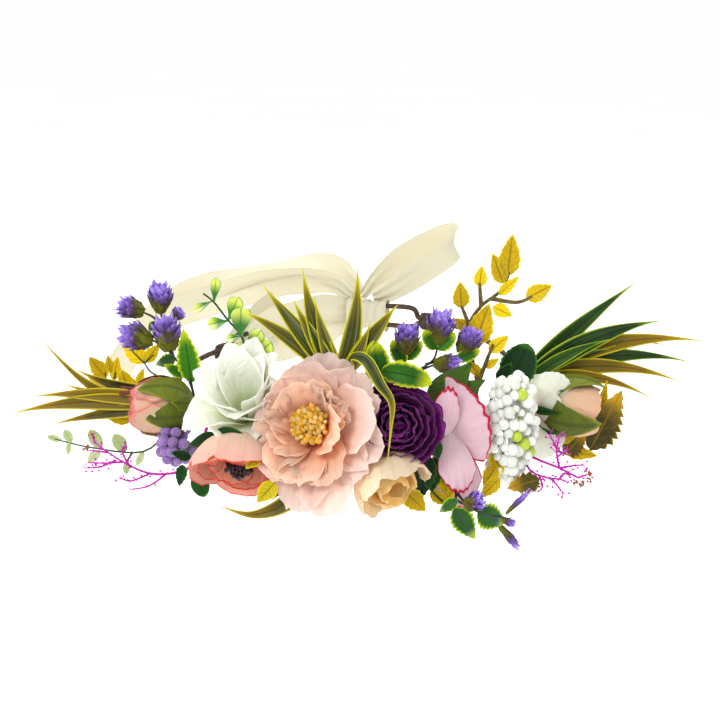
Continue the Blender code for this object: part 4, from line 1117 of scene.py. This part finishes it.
def make_left_foliage():
    """Everything that leaves the hoop on its left side."""
    sprig("left_grass_blades", -70, [[(0, 0, 2), (-8, 3, 4), (-16, 2, 0)]], [
        ((-10, 2, 0), (-78, 16, 28), 6.5, {"route": [(-38, 8, -2), (-58, 12, 8)], "tone": 0.9}),
        ((-14, 4, 1), (-62, 22, 10), 8, {"bow": (0, 0, -3), "tone": 0.05}),
        ((-14, 4, -1), (-67, 13, 4), 8, {"bow": (0, 0, -3), "tone": 0.95}),
        ((-16, 3, -3), (-84, 12, -3), 8.5, {"bow": (0, 0, 2.5), "tone": 1.0}),
        ((-16, 3, -5), (-96, 12, -13), 9.5, {"bow": (0, 0, 4.0), "tone": 0.75}),
        ((-12, 2, -6), (-74, 8, -18), 7.5, {"bow": (0, 0, 1.5), "tone": 0.2}),
    ], "grass", "grass_leaf", "stem", 1.0, "left_grass", outline="grass", fold=0.35, fine=24)
    sprig("left_yellow_blades", -76, [
        [(0, 0, 3), (-10, 8, 4), (-24, 12, -2), (-36, 15, -6), (-42, 18, 1), (-43, 18, 6)],
        [(-36, 15, -6), (-38, 17, 0), (-37, 18, 6)],
        [(-8, 4, 6), (-16, 5, 10), (-19.5, 5, 15), (-26, 5, 22)], [(-19.5, 5, 15), (-14, 5, 20)],
    ], [
        ((-42.4, 18, 2.7), (-51.6, 18, 15), 10), ((-40, 18, 6), (-41, 18, 16), 5.5),
        ((-38.6, 18, 1.6), (-35.5, 18, 15), 7), ((-42.9, 18, 0.5), (-52.6, 18, 3), 6.5),
        ((-41.9, 18, -2.9), (-52.6, 18, -0.6), 5.5),
        ((-27, 10, -9), (-33, 10, 10.5), 13), ((-28, 6, -18), (-43.6, 6, -14.5), 8),
        ((-19.8, 5, 15), (-31.2, 5, 29), 10.5), ((-19, 5, 15.6), (-10.9, 5, 26), 7.5),
        ((-34, 15, -8), (-26, 13, 0), 6), ((-24, 8, 2), (-20, 6, 12), 5),
    ], "yellow", "yellow_leaf", "stem", 0.6, "left_yellow_leaves", teeth=4, tooth=0.1, fold=-0.15)
    lavender_heads("left_lavender_heads", 61, -60, (
        ((-27, 17.5, 46.5), (-39, 17.5, 51), 5.2), ((-18.7, 20.5, 45.5), (-18.7, 20.5, 60), 5.6),
        ((-21.7, 9.5, 33.3), (-37, 9.5, 37), 6.4), ((-12.7, 7.5, 28), (-15.4, 10.5, 44.5), 6.6),
        ((-12.3, 19.5, 43), (-7.5, 19.5, 46.8), 3.2)))
    sprig("left_lavender_leaves", -60, [
        [(0, 0, 3), (-1, 0, 10), (-5, 3, 18), (-11, 6.5, 26), (-12.7, 7.5, 30)],
        [(-11, 6.5, 26), (-16, 14, 38), (-18.5, 20, 46)], [(-16, 14, 38), (-22, 17, 44), (-27, 17.5, 46.5)],
        [(-11, 6.5, 26), (-16, 8, 31), (-21.7, 9.5, 33.3)], [(-16, 14, 38), (-12.5, 19, 43)],
        [(-1, 0, 10), (-2, 1, 16), (-3, 1.5, 22)],
    ], [
        ((-1, 0.5, 13), (-5, 2.5, 42), 13, {"tone": 0.9}),
        ((-5, 3, 16), (-16, 4, 22), 7, {"tone": 0.6}),
    ], "green", "green_leaf", "dark_stem", 0.8, teeth=8)
    sprig("left_lavender_grey_leaf", -60, [], [
        ((-10, 7.5, 24.5), (-21, 9.5, 20), 8), ((-20, 9, 44), (-24, 10, 38), 5),
    ], "violet_leaf", "lavender", node="left_lavender", teeth=6)
    sprig("left_eucalyptus_leaves", -67, [
        [(0, 0, -3), (-8, 0, -14), (-24, 0, -29), (-52, 2, -27.5), (-72, 2, -22.5)],
        [(-30, 1, -29.5), (-34, 0, -36)],
    ], [
        ((-47, 2, -28), (-52.5, 0, -16.5), 7), ((-34, 2, -30), (-39.5, 0, -19), 7.5),
        ((-63, 2, -24.5), (-66, 0, -16.5), 5), ((-47.6, 2, -29), (-54.5, 0, -35.5), 5),
        ((-64, 2, -24), (-65, 1, -31), 3), ((-68, 2, -23.5), (-76, 2, -21), 3.5),
        ((-33, 0, -34), (-34, 0, -42), 4), ((-24, 0, -29), (-28, 0, -37), 4),
        ((-14, 0, -20), (-20, -3, -12), 5),
    ], "sage", "sage_leaf", "stem", 0.7, "left_eucalyptus", outline="oval", fold=0.05)
    sprig("lower_left_blades", -43, [[(0, 0, -3), (-4, -8, -10), (-10, -18, -20)]], [
        ((-13, -24, -21), (-9, -26, -33), 9.5, {"outline": "round", "tone": 0.9}),
        ((-20, -22, -17), (-22, -24, -28), 6.5, {"teeth": 5}),
        ((-16, -20, -14), (-26, -22, -10), 6, {"teeth": 5}),
    ], "dark_green", "green_leaf", "dark_stem", 0.8, "lower_left_leaf")
    sprig("under_white_blades", -34, [[(0, -3, -1), (-4, -10, -1)]], [
        ((-14, -30, 4), (6, -36, 1), 11, {"bow": (0, -3, 3)}),
        ((-12, -24, 2), (-28, -20, -4), 9),
    ], "dark_green", "green_leaf", "stem", 0.8)
    sprig("mustard_leaf", -20, [], [
        ((-4, -36, -14), (-13, -40, -23), 10), ((-12, -34, 0), (-18, -38, -6), 8),
    ], "gold", "yellow_leaf", face=(-0.2, -1, 0.1))


def fern_fronds(name, angle, main, branches, tips, node, seed):
    """A thin magenta sprig: forked twigs with hair-fine needles and crumbly tips."""
    piece = Piece(name, seed)
    draw = piece.draw

    def twig(points, radius):
        path = smooth_path([near(angle, *point) for point in points], 6)
        piece.rod(path, radius, 6, tone=draw.random(), end=0.5)
        for index in range(2, len(path), 2):
            run = (path[index] - path[index - 1]).normalized()
            for sign in (-1, 1):
                if draw.random() < 0.3:
                    continue
                aside = run.cross(TO_CAMERA).normalized() * sign
                reach = draw.uniform(1.6, 4.2)
                head = path[index] + (aside + run * draw.uniform(0.6, 1.3)
                                      + TO_CAMERA * draw.uniform(-0.5, 0.5)).normalized() * reach
                piece.rod([path[index], (path[index] + head) / 2 + run * 0.25, head], 0.24, 5,
                          tone=0.9, end=0.7)
                if draw.random() < 0.4:
                    piece.bead(head, 0.6, 1.2, run, 6, 4, tone=0.9, rough=0.3)
    twig(main, 0.95)
    for branch in branches:
        twig(branch, 0.7)
    piece.finish("fern", "magenta_fern", node)
    crumbs = Piece(name + "_tips", seed + 1)
    for tip in tips:
        centre = near(angle, *tip)
        for _ in range(7):
            spot = centre + Vector([draw.uniform(-1.5, 1.5) for _ in range(3)])
            crumbs.bead(spot, draw.uniform(0.45, 0.8), 1.1, UP, 7, 5, rough=0.4)
    crumbs.finish("crumb", "magenta_fern")


def make_ferns():
    """The magenta sprigs low on both sides."""
    fern_fronds(
        "left_fern_fronds", -50,
        [(-1, 1, -3), (-6, 4, -20), (-13.8, 6, -32.5), (-32, 8, -36), (-48, 10, -30), (-62.6, 12, -20)],
        [[(-48, 10, -30), (-58, 11, -31), (-67, 12, -31)],
         [(-52, 10, -29), (-60, 11, -33), (-68, 12, -34)],
         [(-34, 8, -36), (-44, 8, -40), (-50, 8, -38)], [(-24, 7, -35), (-34, 6, -42), (-44, 6, -44)],
         [(-62.6, 12, -20), (-64, 12, -17)], [(-56, 11, -25), (-66, 12, -24)],
         [(-44, 9, -33), (-48, 9, -24), (-46, 9, -20)]],
        [(-64.5, 12, -16.5), (-67.5, 12, -23)], "left_fern", 71)
    fern_fronds(
        "right_fern_fronds", 52.5,
        [(1, -1, -3), (8, -10, -12), (17.3, -20, -17), (32.4, -22, -23), (42.4, -20, -29)],
        [[(32.4, -22, -23), (31, -22, -16), (30.8, -22, -12.4), (31.8, -22, -5)],
         [(30.8, -22, -12.4), (27, -22, -5)], [(31, -22, -17), (36, -22, -13)],
         [(12, -14, -14), (17.3, -22, -24), (26.7, -22, -28.4), (32.8, -22, -29), (38, -20, -32)],
         [(32.8, -22, -29), (35, -22, -26), (38, -22, -27)],
         [(32.4, -22, -23), (40, -21, -22), (45, -20, -22)],
         [(22, -21, -27), (24, -22, -33), (22, -22, -36)], [(42.4, -20, -29), (48, -18, -28)],
         [(28, -22, -28.5), (32, -22, -33), (35, -22, -37)]],
        [(41, -19, -31), (45, -18, -33.5), (48.5, -18, -27.5), (48.5, -18, -31)], "right_fern", 73)


def make_top_foliage():
    """The sprigs that stand up behind the flower heads."""
    sprig("eucalyptus_leaves", -33, [
        [(0, 0, 3), (1, -2, 20), (-0.6, -6, 41), (-3, -6, 50), (-9.2, -6, 57.6), (-15.8, -6, 66.6),
         (-21, -6, 71)], [(-0.6, -6, 41), (3.5, -6, 40)],
    ], [
        ((-15.8, -6, 66.5), (-14.3, -6, 79), 5), ((-17, -6, 67), (-26, -6, 62.4), 4),
        ((-9.2, -6, 57), (-19.2, -6, 55), 6.5), ((-8.7, -6, 57.6), (-3.4, -7, 69.5), 8),
        ((-2.8, -6, 49), (-2.1, -8, 65), 10.5), ((-3, -6, 49), (-10, -5, 47.5), 4.5),
        ((0.5, -6, 42), (7.4, -7, 52.5), 8), ((3, -6, 38), (12.6, -8, 46.5), 9.5),
        ((-0.6, -5, 38), (-5, -4, 45), 5),
    ], "moulded", "moulded_green", "stem", 0.75, "eucalyptus_sprig", outline="spoon", fold=0.25,
          thickness=0.9)
    grass = [((-21.5, 2, 86), 9.5, (-3, 0, 2), 0.2), ((-41, 2, 77), 9, (-3, 0, 4), 0.3),
             ((-51, 1, 63.7), 8, (-4, 0, 6), 0.6), ((-26.5, 0, 71), 8, (-2, 0, 2), 0.1),
             ((-16, -1, 72), 8, (-1, 0, 0), 0.7), ((5.2, 2, 86.4), 10, (3, 0, 0), 0.4),
             ((11.8, -2, 60), 7, (2, 0, 0), 0.9), ((24.9, 0, 67.4), 9, (3, 0, 5), 0.5)]
    sprig("top_grass_blades", -1, [[(0, 0, 3), (-2, 1, 16), (-4, 1, 30)]], [
        ((-5 + 0.3 * index, -2 + 0.5 * (index % 3), 30), tip, width, {"bow": bow, "tone": tone})
        for index, (tip, width, bow, tone) in enumerate(grass)
    ], "striped_grass", "grass_leaf", "stem", 1.2, "top_grass", **GRASS)
    sprig("drooping_blade", 4.5, [[(0, 0, 3), (-4, -2, 22), (-8, -8, 38)]], [
        ((-8, -8, 38), (10.2, -45, 0), 6.5,
         {"route": [(-5, -14, 45), (1, -26, 45.5), (7, -38, 38), (12.2, -43, 31), (12, -45, 19)]}),
    ], "striped_grass", "grass_leaf", "stem", 0.7, "drooping_leaf", outline="grass", fold=0.25,
          fine=36, face=(0.1, -1, 0.35))
    sprig("scalloped_blades", 8.5, [[(0, 0, 3), (1, -2, 18), (2, -6, 30)], [(1, -4, 26), (2, -9, 36)]], [
        ((1, -5, 28), (-2.5, -3, 50), 13), ((1.5, -10, 36), (26, -14, 31), 12, {"bow": (0, -2, 2)}),
        ((-6, -10, 26), (-6, -11, 36), 6), ((4, -4, 28), (12, -3, 40), 7),
    ], "green", "green_leaf", "stem", 0.9, "scalloped_leaves", outline="round", teeth=7, tooth=0.07)
    lavender_heads("right_lavender_heads", 63, 18.5, (
        ((-2, 9, 38), (-1, 10, 52), 5.5), ((14, 14, 42), (16.5, 17, 57), 6.2),
        ((26, 18, 36), (33, 22, 47), 5.2), ((12, 8, 34), (24, 6, 33.5), 4.6)))
    sprig("right_lavender_leaves", 18.5, [
        [(0, 0, 3), (-4, 0, 24), (-3, 6, 32), (-2, 9, 38)],
        [(-4, 0, 24), (4, 4, 31), (12, 8, 36), (14, 13, 42)], [(8, 6, 34), (18, 12, 35), (26, 17, 36)],
        [(4, 4, 31), (12, 8, 33)],
    ], [
        ((-3, 6, 34), (-9, 8, 46), 8), ((-2, 8, 36), (6, 9, 45), 7), ((13, 12, 40), (7, 12, 50), 7),
        ((14, 12, 40), (23, 14, 48), 8), ((24, 15, 34), (36, 18, 38), 7), ((4, 4, 31), (10, 2, 24), 6),
    ], "green", "green_leaf", "dark_stem", 0.8, "right_lavender", outline="round", teeth=6, tooth=0.1)
    sprig("woven_blade", 24.5, [[(0, 0, 3), (2, -1, 12), (3, -3, 18)]], [
        ((1, -8, 14), (21, -6, 37), 19), ((5, -8, 16), (28, -5, 28), 13),
    ], "woven", "green_leaf", "stem", 0.9, "woven_leaf", fold=0.1, wave=0.3)
    sprig("yellow_branch_leaves", 38.5, [
        [(0, 0, 3), (6, 2, 18), (3, 8, 34), (2, 12, 48), (8, 14, 58), (18, 15, 66), (22, 14, 76)],
        [(2, 12, 48), (-2, 14, 58)], [(8, 14, 58), (7, 15, 70)], [(13, 14, 62), (26, 14, 60), (34, 14, 63)],
        [(3, 8, 34), (8, 8, 40)], [(6, 2, 18), (10, 4, 30), (14, 6, 40)],
    ], [
        ((21, 14, 74), (23, 13, 96), 12), ((19, 14, 70), (13, 13, 86), 9), ((31, 14, 62), (44, 14, 69), 10),
        ((7, 15, 68), (8, 15, 79), 7.5), ((-2, 14, 57), (-3, 14, 71), 9.5), ((5, 12, 38), (12, 12, 60), 14),
        ((2, 12, 46), (-6, 12, 52), 7), ((14, 13, 58), (24, 13, 53), 8), ((12, 6, 36), (22, 8, 44), 8),
        ((8, 4, 24), (0, 4, 32), 6), ((10, 5, 28), (17, 4, 33), 5), ((17, 14, 64), (27, 13, 74), 6),
    ], "yellow", "yellow_leaf", "olive_stem", 1.25, "yellow_branch", teeth=5, tooth=0.1)
    sprig("round_blade", 48.5, [[(0, 0, 3), (4, 2, 12), (8, 3, 18)]], [
        ((12, 3, 16), (21, 6, 37), 19, {"outline": "round", "teeth": 9, "tooth": 0.05}),
        ((6, 0, 18), (12, -2, 29), 9, {"tone": 0.0}), ((16, 6, 18), (26, 8, 26), 8),
    ], "dark_green", "green_leaf", "dark_stem", 0.9, "round_leaf")


def make_right_foliage():
    """Everything that leaves the hoop on its right side."""
    sprig("right_grass_blades", 68.5, [[(0, 0, 3), (3, 2, 11), (8, 4, 15)]], [
        ((4, -2, 13), (68, 35, 56), 10, {"bow": (0, 0, 2), "tone": 0.4}),
        ((6, -4, 13), (80, 20, 38), 12, {"bow": (0, 0, 6), "tone": 0.0}),
        ((8, 2, 11), (98, 22, 14), 10, {"bow": (0, 0, 8), "tone": 0.2}),
        ((6, -5, 12), (50, 4, 32), 7, {"bow": (0, 0, 3), "tone": 0.8}),
    ], "green_grass", "grass_leaf", "stem", 1.0, "right_grass", **GRASS)
    sprig("right_golden_blades", 68.5, [], [
        ((8, 6, 13), (104, 22, 26), 11, {"bow": (0, 0, 8), "tone": 0.9}),
        ((8, 5, 12), (84, 20, 24), 8, {"bow": (0, 0, 9), "tone": 0.5}),
        ((7, 2, 11), (92, 14, 5), 9.5, {"bow": (0, 0, 8), "tone": 0.7}),
        ((7, 0, 9), (76, 8, -3), 7.5, {"bow": (0, 0, 8), "tone": 1.0}),
    ], "grass", "grass_leaf", **GRASS)
    sprig("serrated_blades", 67, [[(2, -2, -3), (14, -8, -18), (28, -10, -27), (42.5, -8, -25)]], [
        ((41, -8, -25), (56.5, -8, 8), 19, {"teeth": 9, "tooth": 0.22}),
        ((27, -10, -27), (38, -11, -15), 12, {"teeth": 7, "tooth": 0.2}),
        ((22, -12, -24), (14, -14, -14), 9, {"teeth": 5}),
    ], "brown", "brown_leaf", "stem", 0.9, "serrated_leaves")
    sprig("side_yellow_blades", 67, [], [
        ((27, -10, -25), (45, -10, -28), 8), ((24, -12, -20), (34, -12, -12), 6),
        ((46, -4, -6), (49, -3, 12), 5), ((42, -6, -16), (50, -6, -8), 6),
    ], "yellow", "yellow_leaf", teeth=4)
    sprig("lower_mint_blades", 34, [
        [(0, 0, -3), (2, -10, -14), (0, -28, -26), (-1, -39, -30)],
        [(0, -34, -28), (10, -39, -32), (24, -40, -35)], [(0, -28, -26), (4, -36, -28), (10, -40, -26)],
    ], [
        ((-1.5, -40, -30), (9, -41, -46), 12.5, {"teeth": 8}),
        ((10, -40, -32), (24, -40, -38), 14.5, {"teeth": 8}),
        ((0, -38, -26), (-9, -38, -33), 7, {"teeth": 4}), ((4, -40, -27), (12, -40, -30), 6, {"teeth": 4}),
    ], "violet_leaf", "lavender", "dark_stem", 0.8, "lower_lavender")
    lavender_heads("lower_lavender_spikes", 65, 34, (
        ((3, -40, -29), (12, -40, -25), 4.4), ((24, -40, -33), (34, -38, -23), 1.3),
        ((20, -40, -38), (30, -40, -50), 1.9), ((22, -40, -36), (28, -40, -38), 1.9)),
        count=4, spread=0.2)
    sprig("lower_yellow_blades", 19, [
        [(0, 0, -3), (2, -8, -14), (5, -16, -20), (8, -18, -23), (17.5, -17, -33.5)],
    ], [
        ((-3, -20, -25), (7, -20, -35), 11), ((9, -17, -26), (20, -17, -33), 7),
        ((17, -16, -32), (21, -16, -24), 5), ((14, -14, -16), (18, -15, -28), 8),
        ((12, -14, -8), (16, -16, -18), 9),
    ], "yellow", "yellow_leaf", "stem", 0.8, "lower_leaves", teeth=4)
    sprig("lower_dark_blades", 19, [], [
        ((8.2, -16, -7), (4, -18, -30), 12), ((12, -15, -8), (10, -17, -26), 10),
        ((17, -14, -14), (24, -16, -28), 9), ((11, -18, 2), (13, -19, -8), 7, {"tone": 1.0}),
    ], "dark_green", "green_leaf", teeth=6)
    sprig("brown_blade", 49, [[(0, 0, -3), (5, -8, -14), (14, -22, -24)]], [
        ((25, -26, -26), (8.6, -26, -31), 11, {"teeth": 5, "tooth": 0.25}),
        ((22, -24, -26), (20, -25, -34), 9, {"teeth": 5, "tooth": 0.25}),
    ], "brown", "brown_leaf", "stem", 0.9, "brown_leaf")
    sprig("under_berry_blades", 44, [], [
        ((8, -22, -18), (2, -24, -29), 9), ((10, -24, -24), (0, -26, -34), 8),
        ((6, -20, -12), (12, -22, -22), 8),
    ], "yellow", "yellow_leaf", teeth=5)
    sprig("lower_curved_blade", -17.5, [[(0, 0, -3), (2, -12, -12), (8, -26, -16)]], [
        ((8, -28, -16), (-35.4, -34, -26.5), 9,
         {"route": [(3, -32, -21), (-8, -34, -28), (-21, -34, -31)], "tone": 0.4}),
        ((0, -26, -14), (-10, -30, -25), 7, {"tone": 0.1}),
    ], "grass", "grass_leaf", "stem", 0.9, "lower_curved_leaf", **{**GRASS, "fine": 30})
    twig = Piece("cut_twig", 75)
    route = [Vector((-100, -40, 5)), Vector((-114, -32, 4)), Vector((-124, -29, 0.5))]
    twig.rod(smooth_path(route), 1.0, 8,
             shape=lambda turn, along: 1 + 0.06 * math.sin(3 * turn + 9 * along))
    twig.finish("twig", "brown_leaf")


# ---------------------------------------------------------------- wires and tape

def wrapped(turns, depth):
    """A rod's section for paper wound round it: each turn overlaps the last."""
    return lambda turn, along: 1 + depth * ((along * turns + turn / (2 * math.pi)) % 1.0 - 0.5)


def along_ring(angle):
    """The unit direction in which the ring angle grows."""
    return spoke(math.radians(angle))


def make_hoop():
    """The front wire and the green tape that binds every stem to it."""
    wire = Piece("front_wire", 81)
    for sign in (-1, 1):
        path = [ring_point(sign * (TAPE_END_ANGLE - 1 + index * 0.5)) for index in range(12)]
        wire.rod(path, WIRE_RADIUS, 16, shape=wrapped(3, 0.08))
    wire.finish("paper", "paper_wire", "front_hoop_wire")
    tape = Piece("wound_tape", 83)
    steps, turns = 420, 60
    path = [ring_point(TAPE_END_ANGLE * (2 * index / steps - 1)) for index in range(steps + 1)]
    wound = wrapped(turns, 0.10)

    def lumpy(turn, along):
        spot = (along * turns, math.sin(turn) * 2, math.cos(turn) * 2)
        return wound(turn, along) + 0.10 * ripple(spot, 1.6)

    tape.rod(path, TAPE_RADIUS, 20, shape=lumpy)
    tape.finish("tape", "floral_tape", "garland_tape")


def make_arm(side, eye_angle, climb, eye_length):
    """One bare arm: paper-wrapped wire that climbs to an eye, closed by a paper binding."""
    sign = -1 if side == "left" else 1
    start = BEND_ANGLE + GAP_ANGLE
    route = []
    for index in range(13):
        share = index / 12
        height = climb * share * share * (3 - 2 * share)
        route.append(ring_point(sign * (start + (eye_angle - start) * share), height))
    along = along_ring(sign * (eye_angle + math.degrees(eye_length / 2 / HOOP_RADIUS))) * sign
    origin = route[-1]

    def in_eye(run, height):
        return origin + along * run + UP * height

    straight = eye_length - EYE_HALF_HEIGHT
    doubled = -2 * WIRE_RADIUS - EYE_GAP
    loop = [in_eye(5, EYE_HALF_HEIGHT), in_eye(straight, EYE_HALF_HEIGHT)]
    for index in range(1, 8):
        turn = math.pi / 2 - math.pi * index / 8
        loop.append(in_eye(straight + EYE_HALF_HEIGHT * math.cos(turn),
                           EYE_HALF_HEIGHT * math.sin(turn)))
    bound = along_ring(sign * (eye_angle - math.degrees(BINDING_LENGTH / 2 / HOOP_RADIUS))) * sign
    loop += [in_eye(straight, -EYE_HALF_HEIGHT), in_eye(5, -EYE_HALF_HEIGHT), in_eye(0, doubled),
             origin - bound * (BINDING_LENGTH - 1) + UP * doubled]
    path = smooth_path(route + loop, 12)
    wire = Piece(f"{side}_wire", 85)
    wire.rod(path, WIRE_RADIUS, 14, shape=wrapped(34, 0.10))
    wire.finish("paper", "paper_wire", f"{side}_arm_wire", body=f"{side}_arm")
    cuff = Piece(f"{side}_binding", 87)
    centre = origin + UP * (doubled / 2)
    flat = [centre - bound * (1 + BINDING_LENGTH * (1 - index / 24)) for index in range(25)]
    wound = wrapped(5, 0.07)

    def section(turn, along):
        oval = 1.0 / math.sqrt(math.cos(turn) ** 2 + (math.sin(turn) / 1.75) ** 2)
        return oval * wound(turn, along) * (1 - 0.25 * abs(2 * along - 1) ** 6)

    cuff.rod(flat, 3.1, 24, tone=0.5, shape=section, side=UP.cross(bound))
    cuff.finish("binding", "paper_wire", f"{side}_eye_binding", body=f"{side}_arm")


# ---------------------------------------------------------------- ribbon

def strip(name, body, route, widths, tilts, nodes=(), seed=0.0):
    """A length of ribbon: a route for its middle, a width and a tilt from upright at each stop."""
    path = smooth_path([Vector(point) for point in route], 10)
    sizes = smooth_path(widths, 10)
    turns = smooth_path(tilts, 10)
    last = len(path) - 1
    length = sum((b - a).length for a, b in zip(path, path[1:]))
    piece = Piece(name, 91)

    def shape(across, along):
        index = round(along * last)
        run = (path[min(index + 1, last)] - path[max(index - 1, 0)]).normalized()
        stand = (UP - run * UP.dot(run)).normalized()
        face = run.cross(stand)
        tilt = math.radians(turns[index])
        cross = stand * math.cos(tilt) + face * math.sin(tilt)
        out = run.cross(cross)
        half = sizes[index] / 2
        gather = max(0.0, 1 - sizes[index] / RIBBON_WIDTH)
        lift = 0.8 * ripple((along * length / 14, across * 0.8, 0), 1.0, seed)
        lift += gather * 2.2 * math.sin(across * 7.5) + 0.9 * (1 - across * across) * (1 - gather)
        return path[index] + cross * (half * across) + out * lift

    piece.sheet(shape, 16, last, 0.3, 0.5)
    thing = piece.finish("ribbon", "ribbon", *nodes, body=body)
    return thing


def make_ribbon():
    """The ribbon: a pleated knot on the right eye, a bow loop, two tails and the tie.

    The tie is drawn with a fold along its length.
    """
    low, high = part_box("ribbon_knot")
    knot = (low + high) / 2 / MM
    top = high.z / MM
    knot_run = along_ring(KNOT_ANGLE)

    wrap = Piece("knot_wrap", 93)
    side = Vector((-knot_run.y, knot_run.x, 0.0))
    wide, tall, deep = 12.2, 9.9, 5.2

    def pleated(across, along):
        turn = 2 * math.pi * along
        pinch = 1 - 0.16 * (1 - across * across)
        pleat = 0.55 * math.sin(across * 15 + 1.4 * math.sin(turn))
        pleat += 0.3 * ripple((across * 3, along * 6, 0), 0.5)
        reach = (abs(math.cos(turn)) ** 4 + abs(math.sin(turn)) ** 4) ** -0.25
        local = (side * math.cos(turn) * (deep * reach + pleat)
                 + UP * math.sin(turn) * (tall * reach * pinch + pleat))
        return knot + knot_run * (across * wide) + local

    wrap.sheet(pleated, 40, 72, tone=0.5)
    wrap_thing = wrap.finish("ribbon", "ribbon", "ribbon_knot", body="right_arm")

    def from_knot(*stops):
        return [Vector((knot.x + x, knot.y + y, top + z)) for x, y, z in stops]

    strip("bow_loop_strip", "right_arm", from_knot(
        (-4, 1, 1), (4, 7, 9), (20, 16, 20), (40, 20, 29), (51, 18, 33), (53, 13, 31), (47, 9, 25),
        (30, 4, 14), (12, 0, 4), (3, -1, 1)),
        (8, 13, 19, 19, 19, 19, 19, 18, 14, 8), (0, 8, 12, 6, 0, -4, -10, -16, -10, 0),
        ["bow_loop"])
    strip("upper_tail_strip", "right_arm", from_knot(
        (-5, 3, 1), (-12, 7, 9), (-22, 12, 15), (-37, 16, 17), (-58, 21, 12), (-80, 25, 6),
        (-102, 26, -1), (-122, 24, -11), (-140, 18, -28), (-156, 8, -50)),
        (8, 15, 19, 19, 19, 19, 19, 19, 19, 19), (0, 10, 30, 62, 70, 58, 24, 6, 0, 0),
        ["ribbon_tail_upper"], 3.0)
    strip("lower_tail_strip", "right_arm", from_knot(
        (-9, 1, 1), (-20, 4, 8), (-34, 8, 9), (-52, 12, 7), (-72, 16, 2), (-96, 19, -6),
        (-122, 18, -15)),
        (8, 13, 19, 19, 19, 19, 19), (0, -14, -24, -18, 10, 20, 26),
        ["ribbon_tail_lower"], 6.0)

    end = knot + knot_run * 13.0
    middle = (end + TIE_BAR) / 2
    for name, lift, shift, tilts, seed, nodes in (
            ("tie_upper", 9.0, 2.0, (0, -10, -14, -8, 0, 0), 9.0, ["tie_ribbon"]),
            ("tie_lower", -8.0, -2.5, (0, 12, 10, 6, 0, 0), 12.0, [])):
        strand = strip(name, "tie", [
            end + side * shift + UP * lift * 0.3,
            end.lerp(middle, 0.5) + side * (shift + 1) + UP * lift * 0.9,
            middle + side * (shift + 2) + UP * lift,
            middle.lerp(TIE_BAR, 0.5) + side * (shift + 1) + UP * lift * 0.9,
            middle.lerp(TIE_BAR, 0.85) + side * shift + UP * lift * 0.4,
            TIE_BAR + side * shift * 0.6],
            (14, 18, 19, 19, 12, 8), tilts, nodes, seed)
        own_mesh(strand)
    strip("tie_fold", "tie", [
        (-43, 93, 20), (-52, 90, 14), (-62, 85, 5), (-69, 79, -6), (-74, 72, -18), (-76, 66, -28)],
        (19, 19, 19, 19, 18, 17), (-6, -4, 0, 4, 6, 6), (), 15.0)


# ---------------------------------------------------------------- the crown

set_stage()
LOOKS = make_looks()
make_hoop()
make_arm("left", LEFT_EYE_ANGLE, 1.0, 20.0)
make_arm("right", RIGHT_EYE_ANGLE, 13.0, 33.0)
make_ribbon()
make_peony()
make_white_flower()
make_coral_ranunculus()
make_purple_ranunculus()
make_cream_rose()
make_pink_flower()
make_hydrangea()
make_left_bud()
make_right_bud()
make_berries()
make_left_foliage()
make_ferns()
make_top_foliage()
make_right_foliage()
